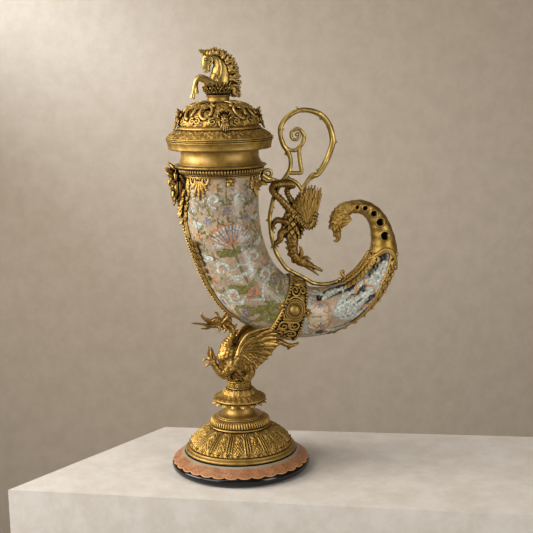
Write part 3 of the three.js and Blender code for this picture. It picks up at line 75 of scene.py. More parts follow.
# The horn: x, height above the stem and radius along its centreline, mouth first
HORN_AXIS = [
    (-17.5, 280, 48.5), (-17.5, 242, 49), (-15, 210, 47.7), (-8, 180, 45.8), (4, 148, 44.5),
    (20, 124, 43.7), (40, 107, 41.7), (67, 94, 38.4), (97, 87, 34.4), (129, 90, 30.7),
    (159, 103, 27.2), (183, 125, 23.9), (197, 150, 20.4), (201, 169, 17.6), (199, 187, 14.9),
    (194, 204, 12.4), (185, 217, 10.4), (172, 225, 8.8), (156, 226, 7.5),
]
HORN_WALL = 4.0
COLLAR_START = 6.45
COLLAR_JOINT = 7.0
COLLAR_END = 7.6
BOSS_STATION = 7.02
BOSS_ANGLE = 98
TIP_START = 12.6
TIP_END = 18.0
TIP_HOLES = [(14, 5.4), (15.1, 4.9), (16, 3.9), (16.9, 3.0), (17.6, 2.4)]


# Curves

def lerp(a, b, t):
    return a + (b - a) * t


def spline(points, steps):
    """Rows of a smooth curve through the given rows, with so many steps in each span."""
    rows = np.asarray(points, float)
    rows = np.vstack([2 * rows[0] - rows[1], rows, 2 * rows[-1] - rows[-2]])
    gaps = np.sqrt(np.maximum(np.linalg.norm(np.diff(rows[:, :3], axis=0), axis=1), 1e-6))
    out = []
    for i in range(1, len(rows) - 2):
        p0, p1, p2, p3 = rows[i - 1:i + 3]
        d0, d1, d2 = gaps[i - 1:i + 2]
        m1 = d1 * ((p1 - p0) / d0 - (p2 - p0) / (d0 + d1) + (p2 - p1) / d1)
        m2 = d1 * ((p2 - p1) / d1 - (p3 - p1) / (d1 + d2) + (p3 - p2) / d2)
        for t in np.arange(steps) / steps:
            out.append((2 * t**3 - 3 * t**2 + 1) * p1 + (t**3 - 2 * t**2 + t) * m1
                       + (3 * t**2 - 2 * t**3) * p2 + (t**3 - t**2) * m2)
    out.append(rows[-2])
    return np.array(out)


def arc(start, end, bulge, count=6):
    """Points of a round or hollow between two profile points; bulge is its share of the chord."""
    (r0, z0), (r1, z1) = start, end
    points = []
    for i in range(count + 1):
        t = i / count
        off = 4 * bulge * t * (1 - t)
        points.append((lerp(r0, r1, t) + (z1 - z0) * off, lerp(z0, z1, t) - (r1 - r0) * off))
    return points


def dense(points, pitch):
    """The same profile with no step longer than the pitch."""
    out = [points[0]]
    for a, b in zip(points, points[1:]):
        count = max(1, round(math.dist(a, b) / pitch))
        out += [(lerp(a[0], b[0], i / count), lerp(a[1], b[1], i / count)) for i in range(1, count + 1)]
    return out


def seat(x_axis, y_axis, z_axis, place):
    """A matrix from its three columns and its place."""
    made = Matrix((x_axis, y_axis, z_axis)).transposed().to_4x4()
    made.translation = place
    return made


# Building shapes

def roll(bm, rings, sides, relief=None):
    """Rolls a grid into a tube through ring matrices. relief(u, turn) lifts it in millimetres.
    Gives the ring number and the turn of each of the new points."""
    bmesh.ops.create_grid(bm, x_segments=len(rings) - 1, y_segments=sides, size=0.5)
    spots = np.array([vert.co for vert in bm.verts]) + 0.5
    ring = np.rint(spots[:, 0] * (len(rings) - 1)).astype(int)
    turn = np.rint(spots[:, 1] * sides) % sides * TAU / sides
    held = np.array(rings)[ring]
    off = held[:, :3, 0] * np.cos(turn)[:, None] + held[:, :3, 1] * np.sin(turn)[:, None]
    places = held[:, :3, 3] + off
    if relief:
        lift = relief(ring / (len(rings) - 1), turn)
        places += off / np.linalg.norm(off, axis=1)[:, None] * lift[:, None]
    for vert, place in zip(bm.verts, places):
        vert.co = place
    return ring, turn


def pour(bm, own):
    """Moves a shape made on its own into a piece."""
    held = bpy.data.meshes.new("poured")
    own.to_mesh(held)
    own.free()
    bm.from_mesh(held)
    bpy.data.meshes.remove(held)


def tube(bm, rings, sides, relief=None):
    """A closed tube through ring matrices."""
    own = bmesh.new()
    roll(own, rings, sides, relief)
    bmesh.ops.remove_doubles(own, verts=own.verts, dist=WELD)
    bmesh.ops.holes_fill(own, edges=[edge for edge in own.edges if edge.is_boundary], sides=0)
    pour(bm, own)


def limb_rings(stations, steps):
    """Ring matrices along a limb: X in the XZ plane, Y across it, Z ahead."""
    rows = spline([s if len(s) == 5 else (*s, s[3]) for s in stations], steps)
    along = np.gradient(rows[:, :3], axis=0)
    rings = []
    for (x, y, z, a, b), ahead in zip(rows, along):
        ahead = Vector(ahead).normalized()
        side = Vector((1, 0, 0)) if abs(ahead.y) > 0.95 else Vector((0, 1, 0))
        side = (side - ahead * side.dot(ahead)).normalized()
        flat = ahead.cross(side)
        rings.append(seat(flat * max(a, TIP_RADIUS), side * max(b, TIP_RADIUS), ahead, (x, y, z)))
    return rings


def limb(bm, stations, sides, steps, relief=None):
    """A limb through (x, y, z, half-width in the XZ plane, half-width across it) stations."""
    tube(bm, limb_rings(stations, steps), sides, relief)


def mirrored(stations):
    return [(x, -y, z, *rest) for x, y, z, *rest in stations]


def moved(stations, shift):
    return [(x + shift[0], y + shift[1], z + shift[2], *rest) for x, y, z, *rest in stations]


class Casting:
    """A figure made of limbs whose stations are measured from its own origin."""

    def __init__(self, origin, sides, steps):
        self.bm = bmesh.new()
        self.origin, self.sides, self.steps = origin, sides, steps

    def add_limb(self, stations, relief=None, sides=None):
        limb(self.bm, moved(stations, self.origin), sides=sides or self.sides, steps=self.steps,
             relief=relief)

    def add_pair(self, stations, relief=None, sides=None):
        """The same limb on the near and the far side."""
        self.add_limb(stations, relief, sides)
        self.add_limb(mirrored(stations), relief, sides)


def turned(profile, steps):
    """A profile of (radius, height) points turned about Z. It closes on the axis or on itself."""
    own = bmesh.new()
    if profile[0][0] > 0:
        profile = [*profile, profile[0]]
    roll(own, [seat((r, 0, 0), (0, r, 0), (0, 0, 1), (0, 0, z)) for r, z in profile], steps)
    bmesh.ops.remove_doubles(own, verts=own.verts, dist=WELD)
    bmesh.ops.recalc_face_normals(own, faces=own.faces)
    bm = bmesh.new()
    pour(bm, own)
    return bm


def emboss(bm, height):
    """Lifts the surface along its normals by height(turn, radius, z)."""
    bm.normal_update()
    verts = list(bm.verts)
    spots = np.array([vert.co for vert in verts])
    lifts = height(np.arctan2(spots[:, 1], spots[:, 0]), np.hypot(spots[:, 0], spots[:, 1]), spots[:, 2])
    for vert, lift in zip(verts, lifts):
        vert.co += vert.normal * float(lift)


def as_stamp(bm, name):
    """Keeps a shape as a mesh that can be stamped many times."""
    mesh = bpy.data.meshes.new(name)
    bm.to_mesh(mesh)
    bm.free()
    return mesh


def stamp(bm, shape, place):
    """Adds a copy of a kept shape at a matrix."""
    old = len(bm.verts)
    bm.from_mesh(shape)
    bm.verts.ensure_lookup_table()
    bmesh.ops.transform(bm, matrix=place, verts=bm.verts[old:])


def piece(name, bm, finish, body, *nodes, slot=None, cast=0.0):
    """Finishes a shape as a named object on a body, standing for the given nodes of the frame.
    cast is a voxel size in millimetres that melts the limbs of a figure into one skin."""
    bmesh.ops.remove_doubles(bm, verts=bm.verts, dist=WELD)
    bmesh.ops.recalc_face_normals(bm, faces=bm.faces)
    bmesh.ops.scale(bm, vec=(MM, MM, MM), verts=bm.verts)
    for face in bm.faces:
        face.smooth = True
    mesh = bpy.data.meshes.new(name)
    bm.to_mesh(mesh)
    bm.free()
    mesh.materials.append(finish)
    made = bpy.data.objects.new(name, mesh)
    bpy.context.scene.collection.objects.link(made)
    if cast:
        melt = made.modifiers.new("cast", "REMESH")
        melt.mode = "VOXEL"
        melt.voxel_size = cast * MM
        melt.use_smooth_shade = True
        ease = made.modifiers.new("ease", "SMOOTH")
        ease.factor = 0.5
        ease.iterations = 2
    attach(made, body)
    if nodes:
        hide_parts(*nodes)
    return made


# Relief drawn on turned surfaces; all take and give arrays

def repeat(turn, count):
    """Where a point lies within one of count repeats round the axis, from -1 to 1."""
    return 2 * ((turn * count / TAU) % 1) - 1


def ridge(x, width):
    return np.exp(-((x / width) ** 2))


def step_up(x, low, high):
    t = np.clip((x - low) / (high - low), 0, 1)
    return t * t * (3 - 2 * t)


def leaf_relief(p, q, lobes):
    """Height of an upright lobed leaf: p runs across it from -1 to 1, q from its foot to its tip."""
    q = np.clip(q, 0, 1)
    lobe = np.abs(np.cos(np.pi * lobes * (q - 0.18 * np.abs(p))))
    half = np.sin(np.pi * q**0.8) ** 0.55 * (0.72 + 0.28 * lobe)
    body = step_up(half - np.abs(p), 0, 0.2)
    veins = np.cos(TAU * lobes * (q - 0.45 * np.abs(p)))
    return body * (0.55 + 0.4 * ridge(p, 0.15) + 0.22 * veins)


# Leaves and beads to stamp

def leaf_shape(name, lobes, long, wide, camber, curl):
    """A lobed leaf one unit long along X, face up, its tip curled by a share of its length."""
    bm = bmesh.new()
    bmesh.ops.create_grid(bm, x_segments=long, y_segments=wide, size=0.5)
    for vert in bm.verts:
        q, p = vert.co.x + 0.5, 2 * vert.co.y
        lobe = abs(math.cos(math.pi * lobes * q))
        half = 0.03 + 0.36 * math.sin(math.pi * min(q, 1) ** 0.7) ** 0.75
        half *= 1 - 0.38 * (1 - lobe) * abs(p) ** 1.5
        vein = 0.035 * math.cos(TAU * lobes * (q - 0.35 * abs(p))) * abs(p)
        rib = 0.05 * math.exp(-((p / 0.2) ** 2))
        rise = camber * (1 - p * p) * math.sin(math.pi * (0.12 + 0.8 * q)) + rib
        vert.co = Vector((q + 0.05 * abs(p) - curl * 0.35 * q**4, p * half, rise + vein + curl * q**3))
    bmesh.ops.solidify(bm, geom=bm.faces[:], thickness=0.07)
    return as_stamp(bm, name)


def bead_shape():
    bm = bmesh.new()
    bmesh.ops.create_icosphere(bm, subdivisions=2, radius=1)
    return as_stamp(bm, "bead_stamp")


BEAD = bead_shape()
LEAF = leaf_shape("leaf_stamp", lobes=4, long=20, wide=10, camber=0.14, curl=0.16)
SMALL_LEAF = leaf_shape("small_leaf_stamp", lobes=2, long=10, wide=6, camber=0.18, curl=0.22)


def size_of(x, y=None, z=None):
    return Matrix.Diagonal((x, y or x, z or x, 1))


def ring_of(bm, shape, count, radius, height, size, tilt=0.0, start=0.0):
    """Stamps a shape round the axis, its X pointing outwards and tipped up by tilt degrees."""
    for i in range(count):
        around = Matrix.Rotation(start + TAU * i / count, 4, "Z")
        place = Matrix.Translation((radius, 0, height)) @ Matrix.Rotation(-math.radians(tilt), 4, "Y")
        stamp(bm, shape, around @ place @ size)


# The horn's surface

FINE = 40
horn_rows = spline([(x, 0, z + STEM_TOP, r) for x, z, r in HORN_AXIS], FINE)
horn_ahead = np.gradient(horn_rows[:, :3], axis=0)
horn_ahead /= np.linalg.norm(horn_ahead, axis=1)[:, None]
horn_run = np.concatenate([[0], np.cumsum(np.linalg.norm(np.diff(horn_rows[:, :3], axis=0), axis=1))])


def horn_at(station):
    """Centre, direction and radius of the horn at a station, and its distance from the mouth."""
    spot = min(max(station * FINE, 0), len(horn_rows) - 1)
    low = min(int(spot), len(horn_rows) - 2)
    t = spot - low
    row = lerp(horn_rows[low], horn_rows[low + 1], t)
    ahead = Vector(lerp(horn_ahead[low], horn_ahead[low + 1], t)).normalized()
    return Vector(row[:3]), ahead, float(row[3]), float(lerp(horn_run[low], horn_run[low + 1], t))


def horn_ring(station, lift):
    """The ring matrix of the horn: X to the outer curve, Y to the near side."""
    centre, ahead, radius, _ = horn_at(station)
    reach = radius + lift
    return seat(Vector((ahead.z, 0, -ahead.x)) * reach, Vector((0, -reach, 0)), ahead, centre)


def horn_seat(station, angle, lift=0.0, spin=0.0):
    """A place on the horn: X towards its tail, Z off the surface. The angle runs from the outer
    curve (0) by the near side (90) to the inner curve (180)."""
    centre, ahead, radius, _ = horn_at(station)
    turn = math.radians(angle)
    off = Vector((ahead.z, 0, -ahead.x)) * math.cos(turn) + Vector((0, -1, 0)) * math.sin(turn)
    place = seat(ahead, off.cross(ahead), off, centre + off * (radius + lift))
    return place @ Matrix.Rotation(math.radians(spin), 4, "Z")


def on_horn(station, angle, lift):
    return tuple(horn_seat(station, angle, lift).translation)


def horn_path(points):
    """Limb stations from (station, angle, lift, radius) points on the horn."""
    return [(*on_horn(s, a, lift), r) for s, a, lift, r in points]


def horn_scroll(bm, station, angle, reach, turns, start, hand, radius, lift):
    """A coiled bronze rib lying on the horn about a place, in millimetres."""
    _, _, girth, _ = horn_at(station)
    pitch = horn_at(station + 0.5)[3] - horn_at(station - 0.5)[3]
    path = []
    count = max(8, int(turns * 12))
    for i in range(count + 1):
        t = i / count
        far = reach * (1 - 0.86 * t)
        turn = math.radians(start) + hand * TAU * turns * t
        path.append((station + far * math.sin(turn) / pitch,
                     angle + math.degrees(far * math.cos(turn) / girth), lift, radius * (1 - 0.35 * t)))
    limb(bm, horn_path(path), sides=8, steps=2)


# Shader building

def colour(red, green, blue):
    """A linear colour from the 0 to 255 values of a screen."""
    def linear(value):
        value /= 255
        return value / 12.92 if value <= 0.04045 else ((value + 0.055) / 1.055) ** 2.4
    return (linear(red), linear(green), linear(blue), 1)


def add(tree, kind, inputs=None, **settings):
    """A node with its settings made and its inputs set to values or joined to other outputs."""
    made = tree.nodes.new(kind)
    for key, value in settings.items():
        setattr(made, key, value)
    for key, value in (inputs or {}).items():
        if isinstance(value, bpy.types.NodeSocket):
            tree.links.new(value, made.inputs[key])
        else:
            made.inputs[key].default_value = value
    return made


def mixed(tree, share, first, second, mode="MIX"):
    made = add(tree, "ShaderNodeMix", {0: share, 6: first, 7: second}, data_type="RGBA", blend_type=mode)
    return made.outputs[2]


def maths(tree, operation, first, second=0.0):
    return add(tree, "ShaderNodeMath", {0: first, 1: second}, operation=operation).outputs[0]


def ramped(tree, value, low, high, to_low=0.0, to_high=1.0):
    made = add(tree, "ShaderNodeMapRange", {0: value, 1: low, 2: high, 3: to_low, 4: to_high},
               interpolation_type="SMOOTHSTEP")
    return made.outputs[0]


def noise(tree, place, scale, detail=3.0, rough=0.55):
    return add(tree, "ShaderNodeTexNoise",
               {"Vector": place, "Scale": scale, "Detail": detail, "Roughness": rough}).outputs[0]


def object_place(tree):
    return add(tree, "ShaderNodeTexCoord").outputs["Object"]


def own_field(tree, name):
    """A value kept on the points of the piece."""
    return add(tree, "ShaderNodeAttribute", attribute_name=name).outputs["Fac"]


def about_zero(tree, value, share):
    """A noise turned into a small push up or down."""
    return maths(tree, "MULTIPLY", maths(tree, "SUBTRACT", value, 0.5), share)


def bumped(tree, strength, distance, height, **settings):
    inputs = {"Strength": strength, "Distance": distance, "Height": height}
    return add(tree, "ShaderNodeBump", inputs, **settings).outputs[0]


def joined(tree, shader, **sources):
    """Joins outputs to the shader's sockets, whose spaces are written as underscores."""
    for label, source in sources.items():
        tree.links.new(source, shader.inputs[label.replace("_", " ")])


def new_group(name, inputs, outputs):
    """An empty shader group with its sockets, and its input and output nodes."""
    tree = bpy.data.node_groups.new(name, "ShaderNodeTree")
    for label, kind, value in inputs:
        made = tree.interface.new_socket(label, in_out="INPUT", socket_type=kind)
        made.default_value = value
    for label, kind in outputs:
        tree.interface.new_socket(label, in_out="OUTPUT", socket_type=kind)
    return tree, tree.nodes.new("NodeGroupInput").outputs, tree.nodes.new("NodeGroupOutput").inputs


def patina_group():
    """Old gilding: bright on worn edges, brown in recesses, mottled between."""
    tree, given, gives = new_group(
        "old_gilding",
        [("Bright", "NodeSocketColor", (1, 1, 1, 1)), ("Gold", "NodeSocketColor", (1, 1, 1, 1)),
         ("Recess", "NodeSocketColor", (0, 0, 0, 1)), ("Depth", "NodeSocketFloat", 0.004),
         ("Darkness", "NodeSocketFloat", 1.0), ("Wear", "NodeSocketFloat", 1.0),
         ("Smooth", "NodeSocketFloat", 0.25), ("Rough", "NodeSocketFloat", 0.5)],
        [("Colour", "NodeSocketColor"), ("Roughness", "NodeSocketFloat"), ("Height", "NodeSocketFloat")])
    place = object_place(tree)
    shade = add(tree, "ShaderNodeAmbientOcclusion", {"Distance": given["Depth"]}, samples=8)
    edge = add(tree, "ShaderNodeNewGeometry").outputs["Pointiness"]
    mottle = noise(tree, place, scale=95.0, detail=4.0, rough=0.6)
    fine = noise(tree, place, scale=900.0, detail=2.0, rough=0.6)
    hollow = maths(tree, "SUBTRACT", 1.0, shade.outputs["AO"])
    hollow = maths(tree, "ADD", hollow, ramped(tree, edge, 0.5, 0.40, 0.0, 0.35))
    hollow = maths(tree, "ADD", hollow, about_zero(tree, mottle, 0.30))
    dark = maths(tree, "MULTIPLY", ramped(tree, hollow, 0.08, 0.5), given["Darkness"])
    worn = maths(tree, "MULTIPLY", ramped(tree, edge, 0.51, 0.60), given["Wear"])
    tone = mixed(tree, ramped(tree, mottle, 0.3, 0.75), given["Gold"], given["Bright"])
    tone = mixed(tree, worn, tone, given["Bright"])
    tree.links.new(mixed(tree, dark, tone, given["Recess"]), gives["Colour"])
    rough = maths(tree, "ADD", maths(tree, "MULTIPLY", dark, 0.35), maths(tree, "MULTIPLY", fine, 0.16))
    spread = maths(tree, "SUBTRACT", given["Rough"], given["Smooth"])
    rough = maths(tree, "ADD", rough, maths(tree, "MULTIPLY", mottle, spread))
    tree.links.new(maths(tree, "ADD", rough, given["Smooth"]), gives["Roughness"])
    tree.links.new(maths(tree, "ADD", fine, maths(tree, "MULTIPLY", mottle, 0.8)), gives["Height"])
    return tree


def brush_group():
    """One painted colour over what lies under it: broken outline, loose wash and lighter heart."""
    tree, given, gives = new_group(
        "brush_layer",
        [("Under", "NodeSocketColor", (1, 1, 1, 1)), ("Field", "NodeSocketFloat", 0.0),
         ("Outline", "NodeSocketColor", (0, 0, 0, 1)), ("Fill", "NodeSocketColor", (1, 1, 1, 1)),
         ("Light", "NodeSocketColor", (1, 1, 1, 1)), ("Edge", "NodeSocketFloat", 0.6)],
        [("Colour", "NodeSocketColor")])
    place = object_place(tree)
    hand = noise(tree, place, scale=330.0, detail=3.0, rough=0.65)
    wash = noise(tree, place, scale=190.0, detail=3.0, rough=0.65)
    field = maths(tree, "ADD", given["Field"], about_zero(tree, hand, 3.0))
    outer = maths(tree, "ADD", field, given["Edge"])
    broken = ramped(tree, wash, 0.4, 0.58, 0.1, 0.85)
    line = maths(tree, "MULTIPLY", ramped(tree, outer, -0.1, 0.3), broken)
    tone = mixed(tree, line, given["Under"], given["Outline"])
    loose = ramped(tree, wash, 0.3, 0.55, 0.5, 1.0)
    cover = maths(tree, "MULTIPLY", ramped(tree, field, -0.3, 0.4), loose)
    tone = mixed(tree, cover, tone, given["Fill"])
    heart = maths(tree, "MULTIPLY", ramped(tree, field, 0.2, 1.4), ramped(tree, hand, 0.46, 0.6))
    tree.links.new(mixed(tree, heart, tone, given["Light"]), gives["Colour"])
    return tree


def crackle_group():
    """The fine brown net of an old glaze, and the dirt that clouds it."""
    tree, given, gives = new_group(
        "glaze_crackle", [("Scale", "NodeSocketFloat", 100.0)],
        [("Lines", "NodeSocketFloat"), ("Cloud", "NodeSocketFloat")])
    place = object_place(tree)
    warp = add(tree, "ShaderNodeTexNoise", {"Vector": place, "Scale": 60.0, "Detail": 2.0})
    bent = mixed(tree, 0.012, place, warp.outputs["Color"], "ADD")
    cells = add(tree, "ShaderNodeTexVoronoi", {"Vector": bent, "Scale": given["Scale"]},
                feature="DISTANCE_TO_EDGE").outputs["Distance"]
    where = ramped(tree, noise(tree, place, scale=22.0, detail=2.0), 0.45, 0.62)
    tree.links.new(maths(tree, "MULTIPLY", ramped(tree, cells, 0.035, 0.008), where), gives["Lines"])
    tree.links.new(noise(tree, place, scale=38.0, detail=4.0, rough=0.6), gives["Cloud"])
    return tree


OLD_GILDING = patina_group()
BRUSH = brush_group()
CRACKLE = crackle_group()


def new_finish(name, **sockets):
    """A material with its Principled shader's plain sockets set; returns it, its tree and shader."""
    made = bpy.data.materials.new(name)
    made.use_nodes = True
    tree = made.node_tree
    shader = tree.nodes["Principled BSDF"]
    for label, value in sockets.items():
        shader.inputs[label.replace("_", " ")].default_value = value
    return made, tree, shader


GOLD = colour(166, 127, 56)
DEEP_GOLD = colour(140, 104, 46)
UMBER = colour(36, 22, 7)


def gilding(name, bright, gold, depth, darkness, wear, roughness, grain, lacquer=0.0):
    """One kind of old gilding. depth is the reach of its dark recesses in metres, roughness its
    smoothest and roughest, grain the strength of its pits."""
    made, tree, shader = new_finish(name, Metallic=1.0, Coat_Weight=lacquer, Coat_Roughness=0.35)
    values = {"Bright": bright, "Gold": gold, "Recess": UMBER, "Depth": depth, "Darkness": darkness,
              "Wear": wear, "Smooth": roughness[0], "Rough": roughness[1]}
    old = add(tree, "ShaderNodeGroup", values, node_tree=OLD_GILDING)
    joined(tree, shader, Base_Color=old.outputs["Colour"], Roughness=old.outputs["Roughness"],
           Normal=bumped(tree, strength=grain, distance=0.0006, height=old.outputs["Height"]))
    return made


polished = gilding("gilt_polished", colour(194, 158, 84), colour(156, 119, 46),
                   depth=0.004, darkness=0.9, wear=0.5, roughness=(0.42, 0.58), grain=0.08, lacquer=0.5)
burnished = gilding("gilt_burnished", colour(214, 182, 104), colour(174, 139, 60),
                    depth=0.006, darkness=1.0, wear=0.8, roughness=(0.24, 0.42), grain=0.2, lacquer=0.4)
chased = gilding("gilt_chased", colour(212, 175, 102), GOLD, depth=0.0035, darkness=1.0, wear=1.0,
                 roughness=(0.36, 0.56), grain=0.35)
cast_bronze = gilding("gilt_cast", colour(188, 152, 84), DEEP_GOLD, depth=0.005, darkness=1.0, wear=0.9,
                      roughness=(0.24, 0.44), grain=0.45)


def porcelain_finish():
    """Painted porcelain. Each colour's field is a distance inside its motifs, kept on the piece."""
    made, tree, shader = new_finish("painted_porcelain", Coat_Weight=0.16, Coat_Roughness=0.12, IOR=1.46)
    place = object_place(tree)
    crackle = add(tree, "ShaderNodeGroup", {"Scale": 125.0}, node_tree=CRACKLE)
    cloud = crackle.outputs["Cloud"]
    scumble = noise(tree, place, scale=240.0, detail=4.0, rough=0.7)
    tone = mixed(tree, ramped(tree, cloud, 0.35, 0.65), colour(188, 160, 126), colour(166, 145, 120))
    tone = mixed(tree, ramped(tree, scumble, 0.48, 0.66, 0.0, 0.62), tone, colour(213, 200, 176))
    stain = ramped(tree, noise(tree, place, scale=110.0, detail=3.0, rough=0.6), 0.52, 0.68, 0.0, 0.5)
    tone = mixed(tree, stain, tone, colour(142, 126, 112))
    layers = [
        ("black", colour(40, 38, 38), colour(26, 25, 26), colour(38, 40, 44), 0.4),
        ("cream", colour(120, 96, 76), colour(206, 180, 144), colour(222, 204, 172), 0.3),
        ("green", colour(70, 64, 36), colour(112, 108, 48), colour(150, 144, 76), 0.5),
        ("pale", colour(74, 70, 70), colour(174, 180, 168), colour(225, 222, 204), 0.4),
        ("slate", colour(60, 54, 60), colour(112, 106, 120), colour(164, 160, 170), 0.4),
        ("orange", colour(120, 72, 44), colour(194, 126, 78), colour(214, 162, 112), 0.3),
        ("line", colour(84, 70, 50), colour(78, 66, 46), colour(70, 60, 46), 0.0),
    ]
    for field, outline, fill, light, edge in layers:
        values = {"Under": tone, "Field": own_field(tree, field), "Outline": outline, "Fill": fill,
                  "Light": light, "Edge": edge}
        tone = add(tree, "ShaderNodeGroup", values, node_tree=BRUSH).outputs["Colour"]
    tone = mixed(tree, maths(tree, "MULTIPLY", crackle.outputs["Lines"], 0.7), tone, colour(78, 62, 48))
    tone = mixed(tree, ramped(tree, cloud, 0.5, 0.8, 0.0, 0.25), tone, colour(150, 130, 104))
    joined(tree, shader, Base_Color=tone, Roughness=ramped(tree, cloud, 0.3, 0.8, 0.26, 0.44),
           Normal=bumped(tree, strength=0.25, distance=0.0003, height=crackle.outputs["Lines"], invert=True))
    return made


def black_finish():
    made, tree, shader = new_finish("black_glaze", Coat_Weight=0.3, Coat_Roughness=0.03, IOR=1.4,
                                    Specular_IOR_Level=0.3)
    cloud = noise(tree, object_place(tree), scale=60.0, detail=4.0)
    joined(tree, shader, Base_Color=mixed(tree, cloud, colour(10, 10, 12), colour(22, 22, 25)),
           Roughness=ramped(tree, cloud, 0.3, 0.7, 0.06, 0.2))
    return made


def terracotta_finish():
    """A matt red-brown band: a painted highlight along its scalloped edge and a pale ring at its top.
    The piece's own rise field is 0 at the edge and 1 at the top."""
    made, tree, shader = new_finish("terracotta_glaze", IOR=1.45)
    place = object_place(tree)
    rise = own_field(tree, "rise")
    cloud = noise(tree, place, scale=70.0, detail=5.0, rough=0.65)
    speck = noise(tree, place, scale=520.0, detail=3.0, rough=0.65)
    tone = mixed(tree, ramped(tree, cloud, 0.3, 0.7), colour(146, 96, 60), colour(182, 128, 88))
    tone = mixed(tree, ramped(tree, speck, 0.46, 0.66, 0.0, 0.75), tone, colour(112, 72, 46))
    # painted highlight: a bright line along the scalloped edge stands in for light catching its raised lip
    tone = mixed(tree, ramped(tree, rise, 0.1, 0.04), tone, colour(206, 144, 84))
    # a pale ring towards the top of the band, broken up by the cloud noise
    pale_top = maths(tree, "ADD", rise, about_zero(tree, cloud, 0.3))
    tone = mixed(tree, ramped(tree, pale_top, 0.72, 0.9), tone, colour(150, 138, 112))
    joined(tree, shader, Base_Color=tone, Roughness=ramped(tree, cloud, 0.2, 0.8, 0.38, 0.6),
           Normal=bumped(tree, strength=0.2, distance=0.0004, height=speck))
    return made


def felt_finish():
    made, tree, shader = new_finish("felt_green", Roughness=0.95, Sheen_Weight=0.4, Sheen_Roughness=0.5)
    fibre = noise(tree, object_place(tree), scale=1400.0, detail=4.0, rough=0.7)
    joined(tree, shader, Base_Color=mixed(tree, fibre, colour(38, 58, 44), colour(74, 92, 72)),
           Normal=bumped(tree, strength=0.6, distance=0.0005, height=fibre))
    return made


def steel_finish():
    made, tree, shader = new_finish("plain_steel", Metallic=1.0)
    streak = noise(tree, object_place(tree), scale=500.0, detail=3.0)
    joined(tree, shader, Base_Color=mixed(tree, streak, colour(150, 150, 148), colour(190, 190, 186)),
           Roughness=ramped(tree, streak, 0.2, 0.8, 0.3, 0.5))
    return made


def tip_finish_with_pocket_shade():
    """The bronze tip, with painted shade: black inside its round pockets."""
    made = gilding("gilt_tip", colour(206, 172, 100), GOLD, depth=0.004, darkness=0.9, wear=0.8,
                   roughness=(0.3, 0.5), grain=0.35)
    tree = made.node_tree
    shader = tree.nodes["Principled BSDF"]
    gold = shader.inputs["Base Color"].links[0].from_socket
    # painted shade: inside the round pockets the colour goes near black, standing in for the dark of the
    # holes
    joined(tree, shader, Base_Color=mixed(tree, own_field(tree, "pocket_shade"), gold, colour(6, 6, 6)))
    return made


porcelain = porcelain_finish()
black_glaze = black_finish()
terracotta = terracotta_finish()
felt = felt_finish()
steel = steel_finish()
tip_bronze = tip_finish_with_pocket_shade()


# Foot and stem

def base_felt():
    bm = turned([(0, 0), (83, 0), (84, 0.4), (84, 1.1), (83, 1.5), (0, 1.5)], steps=128)
    piece("felt_pad", bm, felt, "ewer", "base_felt")


def plinth():
    rim = [(88.5, 1.6), (90.2, 2.0), (91.6, 3.4), (92.6, 5.6), (93.0, 8.2), (92.6, 10.6), (91.4, 12.0)]
    bm = turned(dense([(0, 1.6), *rim, (90, 12.2), (74, 23.9), (0, 23.9)], pitch=3), steps=192)
    piece("black_plinth", bm, black_glaze, "ewer", "plinth")


def skirt():
    """The sloped band with 32 scallops cut along its lower edge."""
    rows = 14
    depth = 2.4
    (low_radius, low_z), (high_radius, high_z) = (92.0, 12.5), (76.0, 24.2)
    upper = [(lerp(low_radius, high_radius, i / rows),
              lerp(low_z, high_z, i / rows)) for i in range(rows + 1)]
    lower = [(r - 1.2, z - 0.5) for r, z in reversed(upper)]
    bm = turned(upper + lower, steps=384)
    rise = bm.verts.layers.float.new("rise")
    for vert in bm.verts:
        radius = math.hypot(vert.co.x, vert.co.y)
        share = min(max((low_radius - radius) / (low_radius - high_radius), 0), 1)
        scallop = abs(math.sin(16 * math.atan2(vert.co.y, vert.co.x))) ** 0.7
        back = depth * (1 - scallop) * (1 - share)
        vert.co.x *= (radius - back) / radius
        vert.co.y *= (radius - back) / radius
        vert.co.z += back * (high_z - low_z) / (low_radius - high_radius)
        vert[rise] = share
    piece("terracotta_band", bm, terracotta, "ewer", "scalloped_skirt")


def foot_ring():
    z = FOOT_RING_Z
    profile = [(40, z), (73.6, z), *arc((74.0, z + 0.3), (73.2, z + 4.6), 0.3, 8),
               (71.8, z + 4.9), *arc((71.6, z + 5.1), (69.4, z + 7.6), 0.3, 6), (68.6, z + 8), (40, z + 8)]
    piece("foot_ring_cast", turned(dense(profile, pitch=1.2), steps=192), polished, "ewer", "foot_ring")


